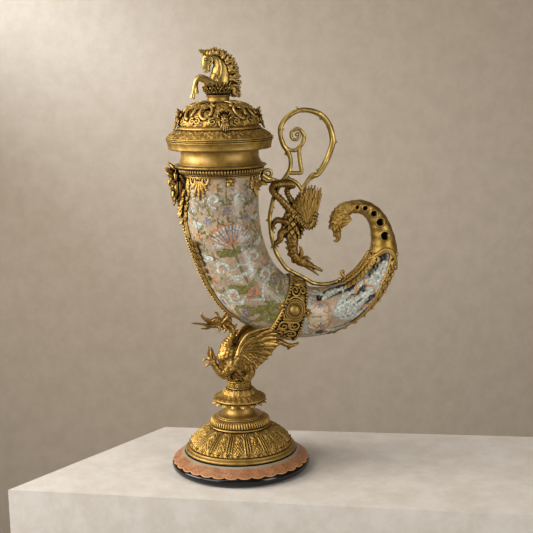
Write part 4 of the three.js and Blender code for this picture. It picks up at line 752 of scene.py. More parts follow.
def foot_dome():
    """The domed foot: sixteen arched panels of leaf and flower between paired ribs."""
    rows = 64
    shares = [i / rows for i in range(rows + 1)]
    profile = [(lerp(68.5, 39.5, share**1.55), DOME_Z + DOME_RISE * share) for share in shares]
    bm = turned([(30, DOME_Z), *profile, (30, DOME_Z + DOME_RISE)], steps=576)

    def panels(turn, radius, z):
        q = (z - DOME_Z) / DOME_RISE
        p = repeat(turn, 16)
        on = step_up(q, 0.0, 0.03) * step_up(1 - q, 0.0, 0.03) * (radius > 31)
        splay = 0.10 * np.sin(math.pi * q)
        ribs = ridge(np.abs(p) - 0.985, 0.05) + ridge(np.abs(p) - 0.80 + splay, 0.06)
        ribs = 1.7 * ribs * step_up(q, 0.16, 0.24)
        arch = 1.3 * ridge(np.hypot(p / 0.74, (q - 0.62) / 0.30) - 1, 0.10) * (q > 0.62)
        leaf = 1.6 * leaf_relief(p / 0.62, (q - 0.12) / 0.62, 5)
        barbs = 0.4 * np.cos(TAU * (3 * np.abs(p) + 5 * q)) * step_up(leaf, 0.1, 0.5)
        across, up = p / 0.42, (q - 0.76) / 0.15
        flower = np.hypot(across, up)
        petals = 1.5 * step_up(1.05 - flower + 0.2 * np.cos(5 * np.arctan2(up, across)), 0, 0.4)
        heart = 0.9 * ridge(flower, 0.3)
        border = 1.5 * leaf_relief(repeat(turn, 64), q / 0.17, 2) * (q < 0.17)
        stipple = 0.12 * np.cos(210 * turn) * np.cos(90 * q)
        raised = np.maximum(np.maximum(leaf, petals), np.maximum(ribs, arch))
        return on * (raised + barbs + heart + border + stipple)

    emboss(bm, panels)
    ring_of(bm, SMALL_LEAF, count=32, radius=67.4, height=DOME_Z + 0.4, size=size_of(5.6, 5.6, 5.0), tilt=62)
    piece("foot_dome_leaves", bm, chased, "ewer", "foot_dome")


def gadroon_ring():
    z = GADROON_Z
    profile = [(20, z), (39.8, z), *arc((40.3, z + 0.3), (39.6, z + 3.0), 0.35), (38.2, z + 3.4),
               *arc((39.4, z + 4.0), (33.0, z + 12.4), 0.24, 16), (32.0, z + 12.7),
               *arc((32.4, z + 12.9), (31.4, z + 14), 0.3, 3), (20, z + 14)]
    bm = turned(dense(profile, pitch=1.1), steps=612)

    def ribs(turn, radius, height):
        q = (height - z - 3.9) / 8.2
        on = step_up(q, 0.0, 0.12) * step_up(1 - q, 0.0, 0.2) * (radius > 31)
        return on * (2.3 * np.sqrt(np.abs(np.cos(34 * turn))) - 1.6)

    emboss(bm, ribs)
    piece("gadroon_course", bm, chased, "ewer", "gadroon_ring")


def stem_spool():
    z = SPOOL_Z
    profile = [(10, z), (30.8, z), (31, z + 1.3), *arc((29.6, z + 1.7), (18.2, z + 12.6), -0.26, 16),
               *arc((18.6, z + 13), (18.4, z + 15), 0.3, 4), (10, z + 15)]
    piece("stem_spool_turned", turned(dense(profile, pitch=1.0), steps=160), polished, "ewer", "stem_spool")


def leaf_pan():
    """A pan with a broad brim, drooping leaves round its edge and a leafy cone rising from it."""
    z = PAN_Z
    profile = [(8, z), (18.4, z), (19.5, z + 4), (30, z + 6.6), (34.2, z + 7.4),
               *arc((35.4, z + 8.4), (34.2, z + 10.6), 0.3, 5),
               *arc((33.4, z + 11.2), (24.0, z + 14.6), -0.08, 10), (23.0, z + 15.2),
               *arc((22.4, z + 15.8), (16.8, z + 22.6), 0.06, 10), (16.2, z + 23), (8, z + 23)]
    bm = turned(dense(profile, pitch=0.8), steps=288)

    def leaves(turn, radius, height):
        brim = (34.0 - radius) / 10
        cone = (22.6 - radius) / 5.8
        tips = 1.1 * leaf_relief(repeat(turn, 24), brim, 3) * (height > z + 10.5) * (radius > 23.6)
        front, back = (leaf_relief(repeat(turn + shift, 9), cone, 4) for shift in (0, TAU / 18))
        blades = 1.6 * np.maximum(front, back)
        return tips + blades * (height > z + 15.5) * (radius > 16.6)

    emboss(bm, leaves)
    ring_of(bm, LEAF, count=16, radius=29.2, height=z + 9.6, size=size_of(10.5, 14, 10), tilt=-52)
    ring_of(bm, SMALL_LEAF, count=28, radius=29.5, height=z + 8.0, size=size_of(6.5, 6, 7), tilt=-52,
            start=TAU / 56)
    piece("leaf_pan_cast", bm, chased, "ewer", "leaf_pan")


def wreath_collar():
    z = WREATH_Z
    profile = [(6, z), (16, z), *arc((16.4, z + 0.3), (16.2, z + 2), 0.3, 4),
               *[(14.6 + 0.3 * math.cos(t), z + 2.4 + 6.4 * t / 6) for t in range(7)],
               *arc((15.8, z + 9.2), (15.6, z + 10.8), 0.3, 4), (6, z + 10.9)]
    bm = turned(dense(profile, pitch=0.6), steps=240)

    def sprigs(turn, radius, height):
        q = (height - z - 2.2) / 6.8
        on = step_up(q, 0, 0.1) * step_up(1 - q, 0, 0.1) * (radius > 12)
        return on * 1.9 * leaf_relief(repeat(turn, 12), q, 3)

    emboss(bm, sprigs)
    piece("wreath_collar_cast", bm, chased, "ewer", "wreath_collar")


# Neck, turned about the mouth's axis

def at_mouth(bm):
    bmesh.ops.translate(bm, vec=(MOUTH_X, 0, 0), verts=bm.verts)
    return bm


def neck_ring():
    z = MOUTH_Z
    profile = [(49.2, z - 5), (51.0, z - 5), *arc((51.4, z - 4.8), (51.2, z - 2.4), 0.35, 5), (50.6, z - 2.0),
               *arc((52.4, z - 1.8), (52.6, z - 0.2), 0.35, 4), (53.0, z), (54.2, z + 0.4), (54.2, z + 6.2),
               (57.6, z + 6.6), *arc((59.4, z + 7.0), (59.0, z + 9.6), 0.36, 6), (57.0, z + 10.2),
               (55.6, z + 10.5), (44.8, z + 10.5), (44.8, z + 0.3), (49.2, z + 0.3)]
    bm = turned(dense(profile, pitch=1.0), steps=192)
    ring_of(bm, BEAD, count=90, radius=54.6, height=z + 3.3, size=size_of(2.5, 1.85, 3.6))
    piece("neck_ring_ribbed", at_mouth(bm), polished, "ewer", "neck_ring")


def neck_mount():
    z = MOUTH_Z + 10.5
    top = RIM_TOP
    profile = [(44.8, z), (54.4, z), *arc((54.4, z + 0.5), (51.6, z + 18.0), -0.14, 18), (52.4, z + 18.8),
               (65.0, z + 19.2), *arc((66.8, z + 20.0), (68.6, top - 1.2), -0.06, 8), (68.4, top - 0.3),
               (67.6, top), (49.6, top), (49.6, top - 1.8), (44.8, top - 1.8)]
    piece("neck_drum", at_mouth(turned(dense(profile, pitch=1.0), steps=192)), polished, "ewer", "neck_mount")


def mouth_liner():
    bottom, top = MOUTH_Z - 14, RIM_TOP
    bm = turned(dense([(42.7, bottom), (44.2, bottom), (44.2, top - 1.5), (49.2, top - 1.5), (49.2, top),
                       (43.4, top), (42.7, top - 0.8)], pitch=4), steps=128)
    piece("mouth_liner_sleeve", at_mouth(bm), polished, "ewer", "mouth_liner")


# The porcelain and its painting

def curl_path(centre, reach, turns, start, hand):
    """Points of a scroll that coils in towards its centre, in painted millimetres."""
    points = []
    count = int(16 * turns)
    for i in range(count + 1):
        t = i / count
        turn = math.radians(start) + hand * TAU * turns * t
        far = reach * lerp(1, 0.1, t**0.8)
        points.append((centre[0] + far * math.cos(turn), centre[1] + far * math.sin(turn)))
    return points


class Painting:
    """Fields of painted motifs over a grid of (across, down) places, all in millimetres."""
    COLOURS = ("black", "cream", "green", "pale", "slate", "orange", "line")
    FAR = -6.0

    def __init__(self, across, down):
        self.across, self.down = across, down
        self.fields = {name: np.full(across.shape, self.FAR) for name in self.COLOURS}

    def near(self, low, high, margin):
        return ((self.across > low[0] - margin) & (self.across < high[0] + margin)
                & (self.down > low[1] - margin) & (self.down < high[1] + margin))

    def stroke(self, field, points, widths):
        """A brush stroke along points, with a half-width at each."""
        points = np.asarray(points, float)
        here = self.near(points.min(axis=0), points.max(axis=0), max(widths) + 3)
        x, y = self.across[here], self.down[here]
        best = self.fields[field][here]
        for a, b, wa, wb in zip(points, points[1:], widths, widths[1:]):
            span = b - a
            t = np.clip(((x - a[0]) * span[0] + (y - a[1]) * span[1]) / max(span @ span, 1e-9), 0, 1)
            inside = lerp(wa, wb, t) - np.hypot(x - a[0] - t * span[0], y - a[1] - t * span[1])
            best = np.maximum(best, inside)
        self.fields[field][here] = best

    def scroll(self, field, points, width, lobes=0):
        """A tapering scroll with a knobbed, leafy outline."""
        count = len(points)
        shape = [width * (0.35 + 0.65 * math.sin(math.pi * (0.08 + 0.84 * i / (count - 1))))
                 * (1 + 0.35 * math.cos(TAU * lobes * i / count) * bool(lobes)) for i in range(count)]
        self.stroke(field, points, shape)

    def plume(self, field, root, bend, tip, width, barbs=5):
        """A curved acanthus leaf: a rib with barbs swept back along both sides."""
        root, bend, tip = np.array(root), np.array(bend), np.array(tip)
        run = np.linspace(0, 1, 9)
        rib = [(1 - t) ** 2 * root + 2 * t * (1 - t) * bend + t * t * tip for t in run]
        self.stroke(field, rib, [width * (0.45 + 0.75 * math.sin(math.pi * (0.15 + 0.8 * t))) for t in run])
        for i in range(barbs):
            k = 1 + int(6 * i / max(barbs - 1, 1))
            ahead = rib[k + 1] - rib[k]
            ahead = ahead / max(np.linalg.norm(ahead), 1e-6)
            side = np.array((-ahead[1], ahead[0]))
            reach = width * 1.7 * math.sin(math.pi * (0.25 + 0.6 * i / barbs))
            for hand in (1, -1):
                end = rib[k] + ahead * reach * 0.8 + hand * side * reach
                middle = rib[k] + ahead * reach * 0.2 + hand * side * reach * 0.7
                self.stroke(field, [rib[k], middle, end], [width * 0.5, width * 0.58, width * 0.2])

    def flower(self, field, centre, radius, petals, heart="cream"):
        here = self.near(centre, centre, radius + 4)
        x, y = self.across[here] - centre[0], self.down[here] - centre[1]
        far, turn = np.hypot(x, y), np.arctan2(y, x)
        edge = radius * (0.72 + 0.28 * np.cos(petals * turn))
        self.fields[field][here] = np.maximum(self.fields[field][here], (edge - far) * 0.8)
        self.fields[heart][here] = np.where(far < radius * 0.9, radius * 0.26 - far, self.fields[heart][here])

    def shell(self, foot, reach, spread, ribs):
        """A ribbed fan that opens upwards: orange ribs over slate and pale flutes."""
        here = self.near(foot, foot, reach + 6)
        x, y = self.across[here] - foot[0], foot[1] - self.down[here]
        far, turn = np.hypot(x, y), np.degrees(np.arctan2(x, np.maximum(y, 1e-6)))
        share = turn / spread * ribs
        edge = reach * (0.88 + 0.1 * np.abs(np.cos(math.pi * share)))
        sides = np.radians(spread - np.abs(turn)) * far
        inside = np.minimum(np.minimum(edge - far, far - 0.2 * reach), sides)
        inside = np.where(y > 0, inside, self.FAR)
        pitch = np.radians(spread / ribs) * far
        flute = np.abs((share % 1) - 0.5) * pitch
        lines = np.maximum(1.2 - np.abs(edge - far), 1.0 - (pitch * 0.5 - flute))
        for field, value in (("slate", inside), ("pale", np.minimum(inside - 1.2, flute - 0.6)),
                             ("orange", np.minimum(inside + 1.0, lines))):
            self.fields[field][here] = np.maximum(self.fields[field][here], value)
        covered = self.fields["pale"][here] > 0.2
        self.fields["slate"][here] = np.where(covered, self.FAR, self.fields["slate"][here])


def spray(art, stem, leaf_every, leaf_size):
    """A thin branch with small leaves to both sides."""
    points = spline([(x, y, 0) for x, y in stem], 8)[:, :2]
    art.stroke("line", points, [0.45] * len(points))
    for i in range(leaf_every, len(points) - 1, leaf_every):
        ahead = points[i + 1] - points[i - 1]
        ahead = ahead / np.linalg.norm(ahead)
        side = np.array((-ahead[1], ahead[0])) * (1 if (i // leaf_every) % 2 else -1)
        end = points[i] + (0.8 * ahead + side) * leaf_size
        art.stroke("green", [points[i], (points[i] + end) / 2, end], [0.5, leaf_size * 0.36, 0.4])


def dabs(art, seed, count, low, high):
    """Loose small dabs of leaf and petal over part of a painting."""
    draw = np.random.default_rng(seed)
    for _ in range(count):
        start = draw.uniform(low, high)
        turn, long, bend = draw.uniform(0, TAU), draw.uniform(2.5, 6.5), draw.uniform(-0.8, 0.8)
        middle = start + 0.5 * long * np.array((math.cos(turn), math.sin(turn)))
        end = middle + 0.5 * long * np.array((math.cos(turn + bend), math.sin(turn + bend)))
        field = ("green", "pale", "green", "slate", "pale", "orange", "line", "cream")[draw.integers(8)]
        wide = 0.5 if field == "line" else draw.uniform(0.7, 1.7)
        art.stroke(field, [start, middle, end], [0.3, wide, 0.3])


def plumes(art, field, scale, rows):
    """Curved leaves from (root, bend, tip, half-width) rows."""
    for root, bend, tip, width in rows:
        art.plume(field, root, bend, tip, width=scale * width)


def paint_front(across, down):
    """A candelabrum of scrolls, shells and flowers, the same to both sides of its upright stem."""
    art = Painting(np.abs(across), down)
    art.stroke("green", [(0, 214), (0, 150), (0, 96), (0, 12)], [1.8, 1.4, 1.0, 0.6])
    plumes(art, "green", 1.25, [
        ((0, 206), (16, 204), (22, 188), 3.2), ((0, 196), (8, 184), (20, 176), 2.6),
        ((2, 150), (16, 152), (24, 138), 2.6), ((48, 196), (58, 184), (54, 168), 2.8),
        ((50, 128), (64, 128), (66, 110), 2.6), ((0, 104), (10, 96), (22, 98), 2.4)])
    for field, lead, coil, width, lobes in [
            ("green", [(0, 186), (12, 192)], ((30, 172), 17, 1.5, 120, -1), 2.7, 9),
            ("pale", [(0, 176), (10, 164)], ((26, 150), 12, 1.35, 130, -1), 3.2, 7),
            ("pale", [], ((50, 152), 12, 1.4, 200, 1), 3.0, 7),
            ("green", [], ((58, 90), 13, 1.3, 60, 1), 2.3, 8),
            ("pale", [(0, 118), (8, 122)], ((24, 116), 10, 1.3, 150, 1), 2.7, 6),
            ("orange", [], ((42, 128), 6, 1.2, 30, -1), 1.1, 0),
            ("pale", [], ((16, 32), 10, 1.2, 100, -1), 2.0, 5),
            ("slate", [], ((44, 176), 9, 1.2, 20, 1), 1.8, 5)]:
        art.scroll(field, [*lead, *curl_path(*coil)], width, lobes)
    plumes(art, "pale", 1.3, [
        ((60, 208), (50, 206), (42, 196), 2.6), ((0, 132), (12, 136), (16, 128), 2.0),
        ((66, 64), (60, 52), (64, 38), 2.2), ((6, 88), (18, 84), (26, 88), 2.0),
        ((30, 100), (42, 104), (48, 94), 2.0), ((36, 60), (44, 64), (50, 58), 1.8)])
    plumes(art, "cream", 1, [((30, 160), (40, 166), (46, 158), 3.2), ((6, 142), (12, 128), (20, 124), 2.6)])
    art.shell((0, 168), reach=15, spread=62, ribs=3)
    art.shell((0, 95), reach=34, spread=58, ribs=3)
    for field, centre, radius, petals, heart in [
            ("slate", (30, 172), 6, 6, "orange"), ("slate", (26, 58), 6, 5, "cream"),
            ("orange", (44, 74), 5, 5, "cream"), ("orange", (26, 150), 4.5, 6, "cream"),
            ("slate", (50, 152), 4.5, 5, "orange"), ("orange", (24, 116), 4, 5, "cream"),
            ("slate", (0, 46), 6, 6, "orange"), ("pale", (48, 42), 5.5, 5, "slate"),
            ("orange", (14, 16), 4.5, 5, "cream"), ("slate", (66, 20), 5.5, 5, "cream"),
            ("pale", (36, 20), 5, 6, "orange"), ("orange", (58, 58), 4, 5, "cream")]:
        art.flower(field, centre, radius, petals, heart)
    for stem, every, size in [
            ([(0, 66), (12, 60), (24, 46), (30, 24), (28, 8)], 2, 4.6),
            ([(22, 104), (36, 94), (42, 80), (44, 58), (52, 44), (54, 20)], 2, 4.6),
            ([(62, 84), (68, 68), (64, 50), (70, 30)], 2, 4.4),
            ([(0, 40), (8, 30), (12, 12)], 2, 4.0),
            ([(36, 196), (46, 188), (58, 186), (66, 176)], 3, 4.4),
            ([(30, 134), (40, 142), (56, 136), (66, 140)], 3, 4.2),
            ([(4, 70), (16, 76), (32, 72), (40, 62)], 2, 4.0),
            ([(20, 34), (34, 40), (42, 30), (44, 10)], 2, 4.2)]:
        spray(art, stem, every, size)
    art.across = across
    dabs(art, seed=5, count=180, low=(-74, 4), high=(74, 104))
    dabs(art, seed=8, count=60, low=(-74, 104), high=(74, 214))
    return art.fields


def paint_tail(across, down):
    """White acanthus on black and cream patches, between orange straps."""
    art = Painting(np.abs(across), down)
    for points, width in [([(0, 66), (10, 92), (0, 122)], 12), ([(26, 40), (32, 70), (24, 104)], 9),
                          ([(0, 128), (14, 146), (6, 170)], 11), ([(18, 116), (24, 140), (16, 162)], 9)]:
        art.stroke("black", points, [width * 0.6, width, width * 0.7])
    art.stroke("cream", [(6, 22), (10, 34), (4, 48)], [7, 9, 5])
    art.stroke("cream", [(14, 100), (18, 116), (8, 128)], [3, 5, 3])
    leaves = [((2, 60), (9, 80), (2, 112), 3.4), ((0, 110), (9, 130), (2, 160), 3.4),
              ((22, 46), (36, 62), (26, 92), 3.0), ((14, 112), (26, 130), (16, 158), 3.0),
              ((4, 20), (16, 12), (26, 26), 3.2), ((36, 20), (40, 36), (30, 48), 3.0),
              ((10, 66), (20, 84), (14, 100), 2.4)]
    for root, bend, tip, width in leaves:
        art.plume("pale", root, bend, tip, width, barbs=6)
    art.plume("green", (10, 4), (28, 8), (40, 2), width=2.4)
    art.plume("green", (44, 60), (52, 76), (44, 92), width=2.4)
    for path in [[(0, 50), (14, 52), (20, 40), (12, 30)], [(34, 100), (22, 108), (10, 100), (12, 88)],
                 [(48, 16), (36, 30), (38, 52), (48, 62)], [(0, 124), (10, 118), (20, 126), (26, 118)]]:
        points = spline([(x, y, 0) for x, y in path], 8)[:, :2]
        art.stroke("orange", points, [1.0] * len(points))
    art.flower("slate", (14, 40), radius=5, petals=6, heart="orange")
    art.flower("slate", (40, 74), radius=4.5, petals=5)
    art.flower("orange", (28, 8), radius=4.0, petals=5)
    art.flower("slate", (0, 14), radius=5.0, petals=6, heart="cream")
    spray(art, [(30, 52), (40, 44), (52, 40), (60, 30)], leaf_every=2, leaf_size=4.0)
    art.across = across
    dabs(art, seed=12, count=110, low=(-60, 2), high=(60, 60))
    dabs(art, seed=14, count=40, low=(-44, 60), high=(44, 160))
    return art.fields


def painted_sleeve(name, node, start, end, rows, sides, paint):
    """A length of the horn with a wall, its painting kept on the points of its outer face."""
    outer = np.linspace(start, end, rows + 1)
    inner = outer[::-10]  # a tenth of the rows is enough inside
    stations = np.concatenate([outer, inner, outer[:1]])
    inside = np.concatenate([np.zeros(rows + 1), np.ones(len(inner)), [0]])
    bm = bmesh.new()
    ring, turn = roll(bm, [horn_ring(s, -HORN_WALL * deep) for s, deep in zip(stations, inside)], sides)
    held = [horn_at(s) for s in stations]
    down = np.array([run for _, _, _, run in held])[ring] - held[0][3]
    girth = np.array([radius for _, _, radius, _ in held])[ring]
    fields = paint(girth * (np.minimum(turn, TAU - turn) - TAU / 4), down)
    for colour_name, field in fields.items():
        layer = bm.verts.layers.float.new(colour_name)
        for vert, value in zip(bm.verts, np.where(inside[ring] > 0, Painting.FAR, field)):
            vert[layer] = float(value)
    piece(name, bm, porcelain, "ewer", node)


def horn_front():
    painted_sleeve("horn_front_painted", "horn_front", 0, COLLAR_JOINT - 0.01, rows=230, sides=300,
                   paint=paint_front)


def horn_tail():
    end = TIP_START + 0.7
    painted_sleeve("horn_tail_painted", "horn_tail", COLLAR_JOINT + 0.01, end, rows=200, sides=200,
                   paint=paint_tail)


# Lid, turned about the mouth's axis

def lid_base():
    z = RIM_TOP
    profile = [(41.8, z + 0.3), (68.8, z + 0.3), *arc((69.2, z + 0.6), (69.0, z + 2.0), 0.35, 5),
               (68.2, z + 2.3), *arc((69.0, z + 2.6), (68.2, z + 4.4), 0.35, 5), (67.6, z + 4.8),
               *arc((67.2, z + 5.2), (54.4, z + 13.4), -0.04, 24), (53.6, z + 13.6),
               *arc((53.8, z + 14.2), (52.4, z + 17.8), 0.3, 8), (51.6, z + 18.5), (47, z + 18.5),
               (47, z + 14), (41.8, z + 5)]
    bm = turned(dense(profile, pitch=0.65), steps=504)

    def border(turn, radius, height):
        q = (67.0 - radius) / 12.6
        on = step_up(q, 0, 0.05) * step_up(1 - q, 0, 0.05) * (height > z + 5)
        vine = ridge(q - 0.5 - 0.28 * np.sin(18 * turn), 0.07)
        rising = leaf_relief(repeat(turn, 36), q * 1.1, 3)
        hanging = leaf_relief(repeat(turn + TAU / 72, 36), 1.1 - q * 1.1, 3)
        return on * (1.3 * np.maximum(rising, hanging) + 1.0 * vine)

    emboss(bm, border)
    piece("lid_base_leaves", at_mouth(bm), chased, "lid", "lid_base")


def dome_point(u):
    """Radius and height of the lid's dome at a share of the way from its foot to its top."""
    return lerp(51, 16, u**1.7), LID_DOME_Z + LID_DOME_RISE * math.sin(math.pi * u / 2) ** 0.92


def on_dome(u, angle, lift):
    """A place on the lid's dome, lifted off it."""
    radius, z = dome_point(u)
    (r0, z0), (r1, z1) = dome_point(max(u - 0.01, 0)), dome_point(min(u + 0.01, 1))
    slope = Vector((r1 - r0, z1 - z0)).normalized()
    radius, z = radius + slope.y * lift, z - slope.x * lift
    turn = math.radians(angle)
    return MOUTH_X + radius * math.cos(turn), radius * math.sin(turn), z


def dome_seat(share, angle, lift, spin):
    """A place on the lid's dome: X down the slope turned by spin degrees, Z outwards."""
    foot = Vector(on_dome(share, angle, lift))
    ahead = (Vector(on_dome(share - 0.05, angle, lift)) - foot).normalized()
    out = (Vector(on_dome(share, angle, lift + 1)) - foot).normalized()
    return seat(ahead, out.cross(ahead), out, foot) @ Matrix.Rotation(math.radians(spin), 4, "Z")


CARTOUCHES = [90 * k + side for k in range(4) for side in (-29, 29)]  # angles of the ovals on the dome


def dome_oval(middle):
    path = []
    for t in np.linspace(-0.6, TAU - 1.2, 17):
        angle = middle + 10 * math.cos(t) * (1 + 0.2 * math.sin(t))
        path.append((*on_dome(0.40 + 0.21 * math.sin(t), angle, 1.4), 2.0))
    return path


def dome_coil(middle, hand):
    path = []
    for t in np.linspace(0, 1, 12):
        far = 1 - 0.8 * t
        turn = 8 * t + 1.2
        angle = middle + hand * (12 + 6 * far * math.cos(turn))
        path.append((*on_dome(0.13 + 0.09 * far * math.sin(turn), angle, 1.2), 1.3 - 0.4 * t))
    return path


def dome_frond(middle, hand):
    path = []
    for t in np.linspace(0, 1, 7):
        angle = middle + hand * (14 - 10 * math.sin(3 * t))
        path.append((*on_dome(lerp(0.58, 0.95, t), angle, 1.6), 2.2 - 1.2 * t))
    return path


def lid_dome():
    """The lid's dome: sunk ovals with raised rims beside each mask, leaves between, a veined ground."""
    rows = 64
    outer = [dome_point(i / rows) for i in range(rows + 1)]
    inner = [(max(r - 3, 2.9), z - 3) for r, z in reversed(outer[::8])]
    bm = turned([*outer, (2.9, SOCKET_Z), (2.9, SOCKET_Z - 3), *inner], steps=480)

    def foliage(turn, radius, height):
        q = (height - LID_DOME_Z) / LID_DOME_RISE
        on = step_up(q, 0.03, 0.1) * step_up(1 - q, 0.02, 0.1) * (radius > 16)
        low = leaf_relief(repeat(turn, 24), q / 0.34, 2) * (q < 0.34)
        high = leaf_relief(repeat(turn + TAU / 24, 12), (1 - q) / 0.4, 3) * (q > 0.6)
        veins = 0.5 * np.cos(30 * turn + 8 * np.sin(9 * q)) * np.cos(23 * q)
        oval = np.zeros_like(turn)
        for middle in CARTOUCHES:
            off = (np.degrees(turn) - middle + 180) % 360 - 180
            oval = np.maximum(oval, step_up(1.0 - np.hypot(off / 9.0, (q - 0.62) / 0.29), 0, 0.3))
        return on * (1.8 * np.maximum(low, high) * (1 - oval) + veins - 2.0 * oval)

    emboss(bm, foliage)
    at_mouth(bm)
    for middle in CARTOUCHES:
        limb(bm, dome_oval(middle), sides=8, steps=2)
        for hand in (-1, 1):
            limb(bm, dome_coil(middle, hand), sides=8, steps=2)
            limb(bm, dome_frond(middle, hand), sides=8, steps=2)
    for k in range(12):
        middle = 45 + 90 * (k // 3) + 11 * (k % 3 - 1)
        stamp(bm, LEAF, dome_seat(0.70, middle, 1.6, 16 * (k % 3 - 1)) @ size_of(15, 12, 10))
    piece("lid_dome_relief", bm, chased, "lid", "lid_dome")


def lid_bezel():
    bottom, top = RIM_TOP - 13, RIM_TOP + 4.4
    profile = [(40.3, bottom), (41.6, bottom), (42.1, bottom + 1.5), (42.1, top), (40.3, top)]
    piece("lid_bezel_sleeve", at_mouth(turned(dense(profile, pitch=4), steps=128)), polished, "lid",
          "lid_bezel")


def finial_socket():
    z = SOCKET_Z + 0.3
    top = HORSE_Z - 0.3
    profile = [(2.9, z), (15.8, z), (15.4, z + 0.8), *arc((14.6, z + 1.1), (14.6, top - 2.4), -0.04, 6),
               *arc((15.4, top - 2.2), (15.4, top - 0.2), 0.45, 6), (2.9, top)]
    piece("finial_drum", at_mouth(turned(dense(profile, pitch=0.8), steps=128)), polished, "lid",
          "finial_socket")


def hidden_fixings():
    for name in ("tie_rod", "tie_washer", "tie_nut", "finial_stud", "finial_nut"):
        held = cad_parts[name]
        held.data.materials.clear()
        held.data.materials.append(steel)


# Figures

def plumage(bm, stations, count, long, rows, depth=0.96):
    """Small feathers in staggered rows round a limb, their tips towards its end."""
    rings = limb_rings(stations, 12)
    feather = Matrix.Rotation(-0.16, 4, "Y") @ size_of(long, long * 1.1, long * 0.9)
    for row in range(rows):
        ring = rings[round(lerp(0, len(rings) - 1, row / (rows - 1)))]
        ahead = ring.col[2].xyz
        for k in range(count):
            turn = TAU * (k + 0.5 * (row % 2)) / count
            off = ring.col[0].xyz * math.cos(turn) + ring.col[1].xyz * math.sin(turn)
            out = off.normalized()
            place = seat(ahead, out.cross(ahead), out, ring.translation + off * depth)
            stamp(bm, SMALL_LEAF, place @ feather)


def feathered(rows, columns, height):
    """Relief of overlapping scales or small feathers along a limb."""
    def lift(u, turn):
        row = u * rows
        shift = 0.5 * (np.floor(row) % 2)
        across = np.abs(((turn * columns / TAU + shift) % 1) - 0.5) * 2
        return height * (1 - (row % 1)) * (1 - across**2)
    return lift


def barbed(u, turn):
    """Relief of a feather's vane: a mid rib and fine slanted barbs."""
    across = np.cos(turn)
    return 0.22 * np.cos(70 * u - 9 * np.abs(across)) * np.abs(across) + 0.35 * ridge(across, 0.22)


def fan(bm, centre, angles, reach, count, width, bend, hand, layer, curve):
    """Feathers fanned about a point of the XZ plane, lying on a bent sheet to one side (hand)."""
    for i in range(count):
        t = i / max(count - 1, 1)
        turn = math.radians(lerp(*angles, t))
        ahead = np.array((math.cos(turn), math.sin(turn)))
        side = np.array((-ahead[1], ahead[0]))
        far = reach(t)
        path = []
        for s, wide in ((0.12, 0.5), (0.4, 0.85), (0.7, 1.0), (0.9, 0.8), (1.0, 0.3)):
            x, z = np.array(centre) + ahead * far * s + side * curve * far * math.sin(math.pi * s)
            path.append((x, hand * (bend(x) + layer + 0.7 * (i % 2)), z, width * wide, 0.9))
        limb(bm, path, sides=12, steps=4, relief=barbed)


def curl(bm, start, bend, end, radius, turns, size, hand, y=0.0):
    """A lock or tendril in a plane of constant Y that ends in a coil."""
    path = [(x, y, z, radius * swell) for (x, z), swell in ((start, 1), (bend, 1.15), (end, 1))]
    ahead = math.atan2(end[1] - bend[1], end[0] - bend[0])
    heart = (end[0] - hand * size * math.sin(ahead), end[1] + hand * size * math.cos(ahead))
    for i in range(1, 7):
        t = i / 6
        turn = ahead - hand * TAU / 4 + hand * TAU * turns * t
        far = size * (1 - 0.6 * t)
        spot = heart[0] + far * math.cos(turn), y, heart[1] + far * math.sin(turn)
        path.append((*spot, radius * (1 - 0.6 * t)))
    limb(bm, path, sides=10, steps=3)


